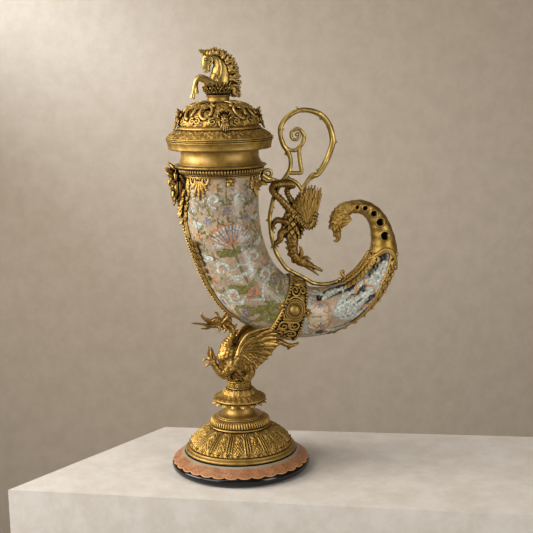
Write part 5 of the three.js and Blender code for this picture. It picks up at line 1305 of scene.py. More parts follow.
def support_dragon():
    cast = Casting(DRAGON_FOOT, sides=18, steps=7)
    # Body and head, upper and lower jaws
    cast.add_limb([(0, 0, 0.3, 15, 15), (0, 0, 7, 15.5, 14.5), (-2, 0, 18, 20, 15.5), (-5, 0, 29, 23, 16),
                   (-11, 0, 39, 19, 14), (-13.4, 0, 47, 10.2, 9.4), (-11, 0, 54, 6.2, 6.4),
                   (-7.4, 0, 61, 4.2, 4.6), (-7.4, 0, 68, 4.0, 4.4), (-12, 0, 74.5, 4.8, 5.0),
                   (-20, 0, 78, 5.8, 5.6), (-28, 0, 79.4, 6.0, 5.6)],
                  feathered(rows=26, columns=16, height=1.3), sides=64)
    cast.add_limb([(-22, 0, 79, 5.2, 5.2), (-30, 0, 80.4, 4.6, 4.6), (-37, 0, 81.6, 3.8, 4.2),
                   (-43.5, 0, 85, 2.4, 2.8), (-47.5, 0, 90, 1.6, 1.8), (-47.6, 0, 96, 0.9, 0.9)])
    cast.add_limb([(-24, 0, 75, 3.5, 4.5), (-38, 0, 75.5, 2.4, 3.4), (-50, 0, 79, 1.6, 2),
                   (-62, 0, 80.4, 0.9, 1.0)])
    cast.add_limb([(-36, 0, 74.6, 2.2), (-42, 0, 72, 1.5), (-50, 0, 72.6, 0.8)])
    # Crest
    cast.add_limb([(-19, 0, 79, 3, 2), (-25, 0, 86, 2.2, 1.8), (-27, 0, 92, 1.6), (-31, 0, 93.6, 1.2)])
    cast.add_limb([(-13, 0, 75, 3, 3), (-10, 0, 82, 2.6, 2.8), (-13, 0, 87, 1.4, 1.4)])
    # Both sides of the head, then the spines of the neck
    cast.add_pair([(-20, -5, 80, 2.4), (-17, -8, 85, 2.0), (-13, -9.5, 89, 0.9)])
    cast.add_pair([(-19, -5, 76, 2.4), (-17, -7.5, 71.5, 2.2), (-20, -7.5, 67, 1.0)])
    cast.add_pair([(-25, -4.6, 75.4, 2.2), (-25, -6, 70.6, 1.6), (-27, -5.6, 66.6, 0.8)])
    cast.add_pair([(-24, -4.4, 82, 1.9), (-27.5, -5.2, 82.6, 1.9), (-30, -4.6, 82, 1.2)])
    cast.add_pair([(-25, -3.0, 83.5, 1.5), (-29, -5.0, 85, 1.4), (-34, -4.0, 83.2, 1.0)])
    for x, z in ((-3, 71), (-1.5, 63), (-2.5, 55), (-1, 47)):
        cast.add_limb([(x - 4, 0, z - 1, 2.8, 2.2), (x, 0, z + 2, 2.0, 1.6), (x + 2.4, 0, z + 5.4, 0.8)])
    # Forelegs and their claws, hind legs, tail and its barb
    cast.add_pair([(-6, -12, 25, 9, 6), (-17, -15, 17, 6.4, 5.4), (-25, -15.5, 12.6, 4.8, 4.6),
                   (-32, -14.5, 20, 3.5, 3.4), (-37, -13.5, 29, 3.2, 3)],
                  feathered(rows=14, columns=8, height=0.7), sides=32)
    cast.add_pair([(-36, -13.8, 27, 2.6), (-38.6, -13, 36, 2.0), (-38.4, -12.5, 45, 0.9)])
    cast.add_pair([(-36.4, -14, 28, 2.6), (-43, -15, 27, 1.9), (-47, -14.5, 23, 0.9)])
    cast.add_pair([(-34.6, -14, 27, 2.4), (-33, -16, 36, 1.8), (-35, -17, 42, 0.9)])
    cast.add_pair([(-26, -15.5, 12, 3.4), (-22, -17, 8, 2.4), (-16, -17, 6.6, 0.9)])
    cast.add_pair([(8, -9, 20, 10, 8), (13, -11, 12, 7.5, 6.4), (10, -12, 5, 5.4, 4.6), (3, -13, 3, 4.6, 4)],
                  feathered(rows=10, columns=8, height=0.7), sides=32)
    cast.add_limb([(12, 0, 20, 9, 9), (28, 0, 25, 6.4, 7), (42, 0, 38, 5.0, 5), (55, 0, 48, 3.8, 3.8),
                   (64, 0, 44, 3.0), (71, 0, 41.5, 2.6), (83, 0, 44.5, 1.0)],
                  feathered(rows=30, columns=8, height=0.8), sides=32)
    cast.add_limb([(66, 0, 43, 2.4), (69, 0, 38.4, 2.0), (66.5, 0, 36.4, 0.9)])
    piece("support_dragon_cast", cast.bm, cast_bronze, "ewer", "support_dragon", cast=0.6)


def saddle():
    """Leaves round the dragon's foot, and between its back and the horn that it carries."""
    bm = bmesh.new()
    ring_of(bm, LEAF, count=9, radius=9, height=STEM_TOP + 0.6, size=size_of(15, 13, 13), tilt=50)
    ring_of(bm, LEAF, count=9, radius=12, height=STEM_TOP + 0.2, size=size_of(10, 11, 11), tilt=26,
            start=TAU / 18)
    for angle, spin in ((-14, 186), (0, 180), (14, 174)):
        for station, long in ((5.5, 15), (5.9, 13)):
            stamp(bm, LEAF, horn_seat(station, angle, 0.5, spin) @ size_of(long, long * 0.7, long * 0.5))
    piece("saddle_leaves", bm, chased, "ewer", slot="patinated_bronze")


def feather_rows(bm, rows, centre, easing, bend, hand, curve):
    """A wing's rows of feathers: (angles, first and last reach, count, half-width, layer)."""
    for angles, reaches, count, width, layer in rows:
        fan(bm, centre, angles, lambda t: lerp(*reaches, easing(t)), count, width, bend, hand, layer, curve)


def support_wings():
    def bend(x):
        return 18.6 + 0.0102 * max(0, x - 12) ** 2

    lead = [(-3, 37), (-1, 46), (3, 56), (10, 64.5), (24, 70.5), (38, 74.5), (49, 78.0)]
    rows = [((38, 13), (62, 52), 6, 4.2, 0.0), ((8, -42), (47, 32), 6, 4.2, 0.2),
            ((46, -46), (42, 26), 11, 3.3, 1.2), ((56, -50), (32, 21), 11, 2.8, 2.2),
            ((66, -54), (23, 17), 9, 2.5, 3.1), ((78, -56), (15, 12), 7, 2.3, 3.9),
            ((-46, -112), (31, 18), 9, 3.0, 0.9), ((-40, -106), (22, 13), 8, 2.7, 1.9),
            ((-34, -98), (14, 9), 6, 2.4, 2.9)]
    for hand, side in ((-1, "near"), (1, "far")):
        bm = bmesh.new()
        feather_rows(bm, rows, (-2, STEM_TOP + 40), lambda t: min(1, 1.4 * t), bend, hand, 0.05)
        edge = [(x, hand * (bend(x) + 1.6), STEM_TOP + z, w, w * 0.9)
                for (x, z), w in zip(lead, (4.0, 3.2, 2.6, 2.4, 2.2, 1.8, 1.0))]
        limb(bm, edge, sides=18, steps=7, relief=feathered(rows=22, columns=6, height=0.5))
        shoulder = [(-2, hand * 13, 24, 9, 4), (0, hand * 18.2, 34, 8, 3.4), (0, hand * 19.4, 44, 5, 2)]
        limb(bm, moved(shoulder, DRAGON_FOOT), sides=24, steps=6,
             relief=feathered(rows=8, columns=8, height=1.1))
        piece(f"support_wing_{side}_feathers", bm, cast_bronze, "ewer", f"support_wing_{side}")


def hanging_dragon():
    cast = Casting(HANDLE_ROOT, sides=16, steps=6)
    cast.add_limb([(54, 0, -37, 3.4, 4), (49, 0, -48, 8.6, 8), (45, 0, -60, 12.4, 9.4),
                   (43.5, 0, -71, 13.2, 9.4), (41.5, 0, -82, 10.2, 8.2), (42, 0, -92, 7.4, 7),
                   (42, 0, -104, 6.2, 6), (44.5, 0, -114, 5.6, 5.6), (51, 0, -121, 5.6, 5.8),
                   (59, 0, -124, 5, 5), (68, 0, -128.5, 2.8, 3.2), (82, 0, -136, 0.9, 1.2)],
                  feathered(rows=28, columns=11, height=1.5), sides=56)
    # Jaw, horns, ears and eyes
    cast.add_limb([(57, 0, -126, 3.0, 3.6), (67, 0, -133.5, 2, 2.6), (77, 0, -142, 0.9)])
    cast.add_pair([(52, -4, -117, 2.4), (54, -5.5, -109, 1.9), (52.5, -5, -101.5, 0.9)])
    cast.add_pair([(55, -3.4, -119.5, 2.2), (61, -4.4, -116.5, 1.7), (66, -4.6, -119, 0.9)])
    cast.add_pair([(57, -4.2, -122, 1.5), (60, -4.6, -123, 1.5), (62, -4, -124.4, 0.9)])
    # Legs, claws and the spines of the neck
    cast.add_pair([(37, -6, -68, 5, 4), (29, -6.4, -66, 3.6), (21, -4.8, -65, 3.0), (15.6, -3.4, -71, 1.8)],
                  feathered(rows=10, columns=6, height=0.5))
    cast.add_pair([(35, -4, -78, 5, 4.4), (27, -4.6, -82, 3.8), (25, -4.6, -91, 3.2), (18.4, -3, -96, 1.8)],
                  feathered(rows=10, columns=6, height=0.5))
    for x, z, dx, dz in ((15.6, -71, -0.5, -7), (15.6, -71, 4, -6), (18.4, -96, -1, -6),
                         (18.4, -96, 4.4, -4.6)):
        cast.add_pair([(x, -3.2, z, 1.8), (x + dx, -3.6, z + dz, 0.9)])
    for x, z in ((32.5, -86), (35, -94), (36, -102), (38, -111), (43.5, -120.5)):
        cast.add_limb([(x + 3, 0, z, 2.8, 2), (x - 1, 0, z - 1.4, 1.9, 1.5), (x - 3.6, 0, z + 0.6, 0.9)])
    piece("hanging_dragon_cast", cast.bm, cast_bronze, "ewer", "hanging_dragon", cast=0.55)


def dragon_tail_loop():
    """The hanging dragon's ribbed tail, looped under the branch, and the feathers on its breast."""
    bm = bmesh.new()
    loop = [(42, -3, -54, 6), (34, -5, -46, 5), (25, -6.5, -36, 4.4), (17.5, -7, -28.5, 4.2),
            (14.5, -6.8, -23, 4.2), (16.5, -6.2, -18.8, 4.3), (23, -5.8, -17, 4.5), (32, -5.4, -16.8, 4.5),
            (39.5, -4.6, -17.6, 4.4), (43.4, -1, -19.6, 4.0), (40, 4, -21.5, 3.6), (36.5, 4.6, -27, 3.4),
            (39, 3.4, -35, 3.6), (44, 1.6, -43, 4.4), (49, 0, -51, 5)]
    breast = [(48, 0, -50, 8.8, 8.4), (45, 0, -60, 12.6, 9.8), (43.5, 0, -71, 13.4, 9.8),
              (42, 0, -81, 10.6, 8.6)]

    def ribs(u, turn):
        return 1.1 * np.abs(np.cos(105 * u + 0.8 * np.cos(turn))) - 0.5

    limb(bm, moved(loop, HANDLE_ROOT), sides=20, steps=16, relief=ribs)
    plumage(bm, moved(breast, HANDLE_ROOT), count=9, long=9, rows=7)
    piece("hanging_dragon_tail", bm, cast_bronze, "ewer", slot="patinated_bronze")


def hanging_wings():
    def bend(x):
        return 9.6 + 0.3 * min(24, max(0, x - ROOT_X - 46))

    lead = [(46, -58), (51, -65), (56.5, -70.5), (62, -72.5), (66.5, -69.5), (69.5, -60), (74, -45),
            (78.5, -30)]
    rows = [((69, 120), (52, 27), 12, 2.2, 0.0), ((70, 122), (38, 20), 11, 1.9, 0.9),
            ((73, 126), (24, 13), 9, 1.8, 1.7), ((38, 70), (14, 36), 7, 2.0, 0.4)]
    for hand, side in ((-1, "near"), (1, "far")):
        bm = bmesh.new()
        feather_rows(bm, rows, (ROOT_X + 59, ROOT_Z - 71), lambda t: t**1.3, bend, hand, -0.03)
        edge = [(ROOT_X + x, hand * (bend(ROOT_X + x) + 1.2), ROOT_Z + z, w, w * 0.7)
                for (x, z), w in zip(lead, (4.0, 3.6, 3.2, 2.8, 2.2, 1.8, 1.4, 0.8))]
        limb(bm, edge, sides=18, steps=7)
        plumage(bm, edge[:6], count=7, long=5.5, rows=13)
        piece(f"hanging_wing_{side}_feathers", bm, cast_bronze, "ewer", f"hanging_wing_{side}")


def horse():
    cast = Casting(HORSE_FOOT, sides=18, steps=7)
    # Chest and neck, head
    cast.add_limb([(1, 0, -0.4, 14, 13), (3, 0, 12, 14, 12), (4, 0, 22, 13.8, 10.8), (5, 0, 31, 12.6, 8.6),
                   (4.4, 0, 39, 10.2, 6.8), (0, 0, 46, 8.6, 5.6), (-6, 0, 50.6, 6.4, 5.0)], sides=32)
    cast.add_limb([(-3, 0, 50, 5.8, 5.0), (-10, 0, 48.2, 7.4, 5.8), (-12.8, 0, 43.2, 7.0, 5.2),
                   (-14.2, 0, 37.2, 5.6, 4.3), (-13.8, 0, 32, 4.4, 3.7), (-12.8, 0, 28.2, 3.7, 3.3)],
                  sides=24)
    # Cheeks, ears, brows, nostrils, breast and neck muscles
    cast.add_pair([(-9.8, -2.8, 47, 4.6, 2.8), (-9.4, -2.8, 43, 4.4, 2.6)])
    cast.add_pair([(-11.6, -3.2, 50.4, 3.6, 2.0), (-16.4, -3.9, 53.2, 3.2, 1.6),
                   (-20.4, -4.3, 55.4, 2.0, 1.2), (-23.6, -4.5, 57.2, 0.6)])
    cast.add_pair([(-15.8, -3.8, 46.4, 1.2), (-17.2, -4.4, 44.6, 1.3), (-17.2, -4.0, 42.8, 0.9)])
    cast.add_pair([(-15.6, -2.4, 31.6, 1.1), (-16.8, -2.0, 30, 1.0)])
    cast.add_pair([(-2, -5.5, 24, 6.4, 4.6), (-6, -5.5, 18, 6, 4.8)])
    cast.add_pair([(2, -3.4, 45, 2.2, 2.6), (3.5, -5, 34, 2.4, 2.6), (2, -6.4, 24, 1.6, 1.8)])
    # Near and far foreleg
    cast.add_limb([(0, -7, 10, 6.6, 5.6), (-11, -8, 14.6, 5.2, 4.6), (-21, -8, 20, 3.9, 3.7),
                   (-26.6, -7.8, 20.6, 3.5, 3.4), (-31, -7, 12, 2.4, 2.3), (-32.6, -7, 4, 2.3, 2.2),
                   (-33.8, -7, -1, 3.0, 2.7), (-34.6, -7, -4, 3.2, 2.8)])
    cast.add_limb([(1, 7, 11, 6.4, 5.4), (-11, 8, 17.6, 4.4, 3.8), (-20, 8, 22.6, 3.2, 3.0),
                   (-24.4, 7.8, 22, 3.0, 2.9), (-26.5, 7, 15, 2.0, 2.0), (-26.8, 7, 8, 2.0, 2.0),
                   (-26.8, 7, 4.4, 2.7, 2.4), (-27, 7, 1.8, 2.8, 2.4)])
    piece("horse_body", cast.bm, burnished, "lid", "horse_finial", cast=0.44)


def horse_features():
    """Brow, eye, nostril, mouth and the folds of the neck, on both sides of the horse."""
    cast = Casting(HORSE_FOOT, sides=8, steps=5)
    lines = [[(-16.8, -4.4, 46.2, 0.9), (-14.6, -5.3, 46.8, 1.0), (-12, -5.6, 45.6, 0.7)],
             [(-16.6, -4.4, 42.8, 0.6), (-14.8, -5.1, 42.2, 0.7), (-12.8, -5.3, 43.2, 0.5)],
             [(-8.4, -5.5, 47.6, 0.8), (-6.6, -5.2, 44, 0.9), (-8, -5.0, 40, 0.9), (-10.6, -4.5, 37.6, 0.7)],
             [(-18, -3.4, 41, 0.7), (-18.4, -2.9, 36, 0.7), (-17.4, -2.5, 32, 0.6)],
             [(-16.6, -2.5, 32, 0.8), (-15.6, -3.3, 31, 0.9), (-14.8, -3.4, 31.8, 0.7)],
             [(-15.4, -2.7, 28.4, 0.7), (-13, -3.3, 29.2, 0.8), (-11.4, -3.4, 31.2, 0.6)],
             [(-2, -4.6, 46, 0.9), (0, -6.0, 38, 1.0), (-1.5, -7.2, 30, 1.0), (-5, -8.0, 24, 0.8)],
             [(2.4, -5.4, 44.5, 0.9), (4, -7.0, 37, 1.0), (3.4, -9.0, 28, 1.0), (0.4, -10.3, 21, 0.8)],
             [(-4, -8.0, 20.6, 1.2), (-0.6, -10.2, 17.4, 1.3), (4, -11.6, 16, 0.9)]]
    for stations in lines:
        cast.add_pair(stations)
    for y in (-4.9, 4.9):
        stamp(cast.bm, BEAD, Matrix.Translation((MOUTH_X - 14.9, y, HORSE_Z + 44.4)) @ size_of(1.3))
    piece("horse_face_and_folds", cast.bm, burnished, "lid", slot="gilt_bronze")


def horse_mane():
    """Flame-like locks down the back of the neck, in rows to each side, and a forelock."""
    bm = bmesh.new()
    steps = 12
    roots = spline([(-10, 0, 50), (-2, 0, 51), (6, 0, 46), (11.5, 0, 38), (14, 0, 28), (14, 0, 16),
                    (11, 0, 6)], steps)
    tips = spline([(-15, 0, 56.6), (-3, 0, 59.6), (11, 0, 55.4), (22, 0, 46), (28, 0, 32), (31, 0, 14),
                   (27, 0, -2)], steps)
    lock = ((0, 0, 2.5), (0.4, 1, 2.4), (0.75, -0.3, 1.6), (0.92, -0.1, 1.0), (1, 0.7, 0.5))
    for row, (y, share, count) in enumerate([(0.0, 1.0, 20), (2.6, 0.95, 19), (4.8, 0.84, 17),
                                             (6.6, 0.64, 13)]):
        for i in range(count):
            k = round(lerp(0, len(roots) - 1, (i + 0.5 * (row % 2)) / count))
            root, tip = roots[k, [0, 2]], tips[k, [0, 2]]
            tip = root + (tip - root) * share * (1.0, 0.8, 0.92)[i % 3]
            side = np.array((tip[1] - root[1], root[0] - tip[0])) * (0.2 if i % 2 else -0.16)
            for hand in ((-1, 1) if y else (1,)):
                path = []
                for t, off, wide in lock:
                    x, z = lerp(root, tip, t) + off * side
                    path.append((MOUTH_X + x, hand * (y + 0.7 * (i % 3) + 1.6 * t), HORSE_Z + z, wide))
                limb(bm, path, sides=10, steps=4)
    forelock = [(MOUTH_X + x, HORSE_Z + z) for x, z in ((-9, 53), (-14, 55), (-18, 52))]
    for y in (-1.6, 0.4, 2.2):
        curl(bm, *forelock, radius=1.5, turns=0.4, size=1.6, hand=1, y=y)
    piece("horse_mane_locks", bm, chased, "lid", slot="gilt_bronze")


def horse_foliage():
    """Curled leaves and berries round the horse's foot."""
    bm = bmesh.new()
    ring_of(bm, LEAF, count=11, radius=11, height=HORSE_Z + 0.2, size=size_of(17, 11, 13), tilt=60)
    ring_of(bm, LEAF, count=11, radius=13.2, height=HORSE_Z - 0.4, size=size_of(13, 11, 12), tilt=46,
            start=TAU / 22)
    ring_of(bm, SMALL_LEAF, count=20, radius=13.4, height=HORSE_Z - 0.6, size=size_of(8, 8, 10), tilt=44)
    for count, radius, rise, size in ((14, 16.4, 3.4, 1.3), (11, 17.8, 8, 1.3)):
        ring_of(bm, BEAD, count=count, radius=radius, height=HORSE_Z + rise, size=size_of(size), start=rise)
    at_mouth(bm)
    for k in range(7):
        spread = (k - 3) * 4
        bend = (MOUTH_X + 19, HORSE_Z + 7 - k % 2)
        end = (MOUTH_X + 27 - abs(spread) * 0.7, HORSE_Z + 2 - 2 * (k % 2))
        curl(bm, (MOUTH_X + 8, HORSE_Z + 8), bend, end, radius=2.2, turns=0.5, size=2.6,
             hand=-1 if k % 2 else 1, y=spread)
    piece("horse_foliage", bm, chased, "lid", slot="gilt_bronze")


def mask_shape():
    """A calm, plain mask 40 mm tall: X out of the wall, Z up."""
    cast = Casting((0, 0, 0), sides=14, steps=4)
    # Head, nose, brows, eyes, lips and cheeks
    cast.add_limb([(-3, 0, -13, 3.4, 4.4), (0, 0, -9, 5.6, 7), (1, 0, 0, 7.4, 9), (0, 0, 9, 6.4, 8),
                   (-2, 0, 14, 4, 6)])
    cast.add_limb([(7.4, 0, 5, 1.4, 1.3), (9.4, 0, -1, 1.7, 1.7), (8.2, 0, -2.6, 1.3, 1.9)])
    cast.add_pair([(6.0, -7, 4.4, 1.2), (7.8, -3, 5.8, 1.2), (8.0, 0, 4.8, 1.1)])
    cast.add_pair([(7.0, -3.6, 2.6, 1.4), (6.6, -4.6, 2.5, 1.3)])
    cast.add_limb([(6.6, -3.2, -5.4, 0.9), (8.0, 0, -4.9, 1.0), (6.6, 3.2, -5.4, 0.9)])
    cast.add_limb([(6.6, -2.4, -7.0, 0.9), (7.7, 0, -7.2, 1.1), (6.6, 2.4, -7.0, 0.9)])
    cast.add_pair([(3.5, -6.8, -2, 2.2), (5.6, -5.2, -4.4, 2.2)])
    # Beard, side locks and crest
    for y, low in ((0, -27), (3.4, -25), (6.6, -20)):
        draw = cast.add_pair if y else cast.add_limb
        draw([(4.4, y * 0.8, -9, 2.4), (5, y, -15, 2.2), (3.4, y * 1.15, low + 4, 1.7),
              (4.6, y * 1.25, low, 0.9)])
    cast.add_pair([(0, -7, 9, 2.4), (2.5, -11.5, 11.5, 2.1), (2.5, -13.6, 6.5, 1.6), (3.4, -11, 3, 0.9)])
    cast.add_pair([(0, -8.5, 3, 2.2), (2, -10.6, -4, 2.2), (1, -10.4, -11, 1.6), (2.4, -8.8, -15, 0.9)])
    for y, z, out in ((0, 15, 13), (5.5, 13, 12), (9.5, 8, 11), (11, 0, 9)):
        draw = cast.add_pair if y else cast.add_limb
        draw([(2, -y * 0.8, z - 2, 2.6), (out * 0.75, -y * 1.1, z + 1.4, 1.9),
              (out * 1.12, -y * 1.25, z + 2.5, 0.7)])
    tipped = Matrix.Rotation(-math.radians(78), 4, "Y")
    upright = Matrix.Translation((0.5, 0, 7)) @ tipped @ size_of(13, 11, 12)
    for angle in (-58, -30, 0, 30, 58):
        stamp(cast.bm, LEAF, Matrix.Rotation(math.radians(angle), 4, "X") @ upright)
    return as_stamp(cast.bm, "mask_stamp")


MASK = mask_shape()


def front_mask():
    """The crested mask below the mouth, on the horn's front, grown about with leaves."""
    foot = Vector(on_horn(0.35, 0, 0))
    cast = Casting(foot, sides=12, steps=5)
    bm = cast.bm
    face = seat(Vector((-1, 0, 0)), Vector((0, -1, 0)), Vector((0, 0, 1)), foot + Vector((-8.5, 0, 0)))
    stamp(bm, MASK, face @ size_of(1.06, 1.2, 1.1))
    for hand in (-1, 1):
        cast.add_limb([(-6, hand * 5, 16, 3), (-12, hand * 6.5, 20, 2.6), (-17, hand * 4, 25, 1.0)])
        cast.add_limb([(-4, hand * 9, 6, 3), (-5, hand * 11, -8, 3), (-3, hand * 9, -22, 2.4),
                       (-1.5, hand * 4, -38, 1.2)])
        for station, angle, spin, long in ((0.1, 14, 200, 15), (0.35, 16, 160, 14), (0.5, 18, 30, 13),
                                           (0.75, 14, 24, 14), (0.95, 10, 16, 13), (0.62, 7, 8, 14),
                                           (1.15, 6, 8, 13)):
            place = horn_seat(station, hand * angle, 3.0, hand * spin) @ Matrix.Rotation(-0.36, 4, "Y")
            stamp(bm, LEAF, place @ size_of(long, long * 0.8, long * 0.9))
    for station, spin in ((0.16, 180), (0.9, 0), (1.2, 0), (1.45, 0)):
        place = horn_seat(station, 0, 2.6, spin) @ Matrix.Rotation(-0.3, 4, "Y")
        stamp(bm, LEAF, place @ size_of(13, 12, 11))
    for hand in (-1, 1):
        for station, angle, spin in ((0.1, 24, 0), (0.45, 25, 8), (0.8, 20, 12), (1.15, 14, 12)):
            stamp(bm, LEAF, horn_seat(station, hand * angle, 1.0, -hand * spin) @ size_of(19, 15, 10))
    cast.add_limb([(-6, 0, -18, 3.6, 4), (-4.5, 0, -30, 3, 3.4), (-1.2, 0, -42, 1.4, 2)], sides=14)
    cast.add_limb([(-7, 0, 17, 3.4, 4), (-13, 0, 21, 2.8, 3.2), (-19, 0, 27, 1.0)], sides=14)
    piece("front_mask_cast", bm, cast_bronze, "ewer", "front_mask")


def lid_masks():
    for k in range(4):
        bm = bmesh.new()
        turn = math.radians(90 * k)
        out = Vector((math.cos(turn), math.sin(turn), 0))
        place = seat(out, Vector((-out.y, out.x, 0)), Vector((0, 0, 1)), on_dome(0.17, 90 * k, 1.2))
        stamp(bm, MASK, place @ Matrix.Rotation(-math.radians(24), 4, "Y") @ size_of(0.62))
        piece(f"lid_mask_{k + 1}_cast", bm, cast_bronze, "lid", f"lid_mask_{k + 1}")


# Horn mounts

def horn_sleeve(bm, start, end, rows, sides, lift):
    """A bronze sleeve on the horn; lift(station, angle) is its height off the horn's surface."""
    stations = np.linspace(start, end, rows + 1)
    rings = [horn_ring(s, 0) for s in stations]

    def raised(u, turn):
        return lift(lerp(start, end, u), np.degrees(turn))

    tube(bm, rings, sides, raised)


def pendant(station, middle, leaves, long, wide, first, step):
    """Leaves fanned about a place on the horn below the mouth."""
    bm = bmesh.new()
    for k in range(leaves):
        stamp(bm, SMALL_LEAF, horn_seat(station, middle, 0.9, first + step * k) @ size_of(long, wide, wide))
    stamp(bm, BEAD, horn_seat(station, middle, 1.9) @ size_of(2.5))
    return bm


def horn_collar():
    bm = bmesh.new()

    def lift(station, angle):
        q = (station - COLLAR_START) / (COLLAR_END - COLLAR_START)
        edge = np.clip(np.minimum(q, 1 - q) / 0.02, 0, 1)
        rails = 1.6 * ridge(q - 0.05, 0.035) + 1.6 * ridge(q - 0.95, 0.035)
        return edge * (1.2 + rails) + 0.1

    horn_sleeve(bm, COLLAR_START, COLLAR_END, rows=60, sides=200, lift=lift)
    for side in (1, -1):
        for k, angle in enumerate((14, 38, 62, 134, 158, 182)):
            hand = side if k % 2 else -side
            horn_scroll(bm, 6.84, side * angle, reach=8.2, turns=1.5, start=90, hand=hand, radius=1.8,
                        lift=2.8)
            horn_scroll(bm, 7.24, side * (angle + 7), reach=7.4, turns=1.5, start=270, hand=hand,
                        radius=1.7, lift=2.8)
            stamp(bm, BEAD, horn_seat(7.04, side * (angle + 11), 2.2) @ size_of(2.2))
            stamp(bm, SMALL_LEAF, horn_seat(6.66, side * (angle + 13), 2.2, 20) @ size_of(12, 10, 10))
        for turn in (-1, 1):
            arch = []
            for t in np.linspace(0.5, 2.6, 9):
                around = side * (BOSS_ANGLE + turn * 24 * math.sin(t))
                arch.append((BOSS_STATION + 0.5 * math.cos(t), around, 2.6, 1.6))
            limb(bm, horn_path(arch), sides=10, steps=3)
        for station in (6.42, 7.66):
            pour(bm, pendant(station, side * BOSS_ANGLE, leaves=6, long=6.5, wide=6.5, first=0, step=60))
    piece("horn_collar_scrolls", bm, chased, "ewer", "horn_collar")


def collar_beads():
    for name, station, count in (("front", 6.54, 58), ("rear", 7.52, 54)):
        bm = bmesh.new()
        for k in range(count):
            stamp(bm, BEAD, horn_seat(station, 360 * k / count, 3.2) @ size_of(1.9))
        piece(f"collar_beads_{name}_cast", bm, polished, "ewer", f"collar_beads_{name}")


def collar_bosses():
    """Domed bosses in ringed settings on both sides of the collar."""
    dome = [(7.0 * math.cos(t), 2.6 + 4.2 * math.sin(t)) for t in np.linspace(0, math.pi / 2, 12)[:-1]]
    profile = [(0, 0.2), (14.0, 0.2), *arc((14.2, 0.6), (12.4, 2.4), 0.35, 5), (12.0, 1.4),
               *arc((11.6, 1.6), (9.8, 3.2), 0.35, 5), (9.2, 2.0), *arc((8.9, 2.2), (7.9, 3.2), 0.35, 4),
               (7.5, 2.4), *dome, (0, 6.8)]
    for name, angle in (("near", BOSS_ANGLE), ("far", -BOSS_ANGLE)):
        bm = turned(dense(profile, pitch=0.6), steps=96)
        bmesh.ops.transform(bm, matrix=horn_seat(BOSS_STATION, angle, 1.6), verts=bm.verts)
        piece(f"collar_boss_{name}_turned", bm, polished, "ewer", f"collar_boss_{name}")


EAGLE = horn_at(TIP_END)[0]


def tip_edge(angle):
    """The station where the bronze tip starts: it arches up on both sides of the horn."""
    return 13.0 - 1.3 * np.abs(np.cos(np.radians(angle))) ** 2.0


def eagle_tip():
    """The curled bronze tip: set with round pockets, its lower edge arched over the porcelain."""
    bm = bmesh.new()
    rows, sides = 280, 120
    stations = np.linspace(TIP_START - 1.1, TIP_END, rows + 1)
    runs = np.array([horn_at(s)[3] for s in stations])

    def pockets(station, angle):
        inside = np.full(station.shape, -9.0)
        rim = np.zeros(station.shape)
        for spot, radius in TIP_HOLES:
            _, _, girth, run = horn_at(spot)
            around = np.radians(np.abs(np.abs((angle + 180) % 360 - 180) - 90)) * girth
            far = np.hypot(np.interp(station, stations, runs) - run, around)
            inside = np.maximum(inside, radius - far)
            rim = np.maximum(rim, ridge(far - radius - 0.8, 0.9))
        return inside, rim

    def lift(u, turn):
        station = lerp(stations[0], TIP_END, u)
        angle = np.degrees(turn)
        inside, rim = pockets(station, angle)
        past = station - tip_edge(angle)
        edge = 2.2 * step_up(past, -0.04, 0.0)
        feathers = 0.5 * np.abs(np.cos(4.5 * turn + 3 * (station % 0.4))) * step_up(station, 16.6, 17.4)
        swell = 0.2 * np.cos(9 * station + 2 * np.cos(turn)) * step_up(past, 0.2, 0.8)
        return -1.6 + edge + 1.3 * rim + swell - 5.0 * step_up(inside, -0.2, 0.6) + feathers

    ring, turn = roll(bm, [horn_ring(s, 0) for s in stations], sides, lift)
    inside, _ = pockets(stations[ring], np.degrees(turn))
    # marks the pockets' insides, which the tip's finish paints near black as painted shade
    layer = bm.verts.layers.float.new("pocket_shade")
    for vert, value in zip(bm.verts, step_up(inside, -0.1, 0.4)):
        vert[layer] = float(value)
    piece("eagle_tip_shaft", bm, tip_bronze, "ewer", "eagle_tip")


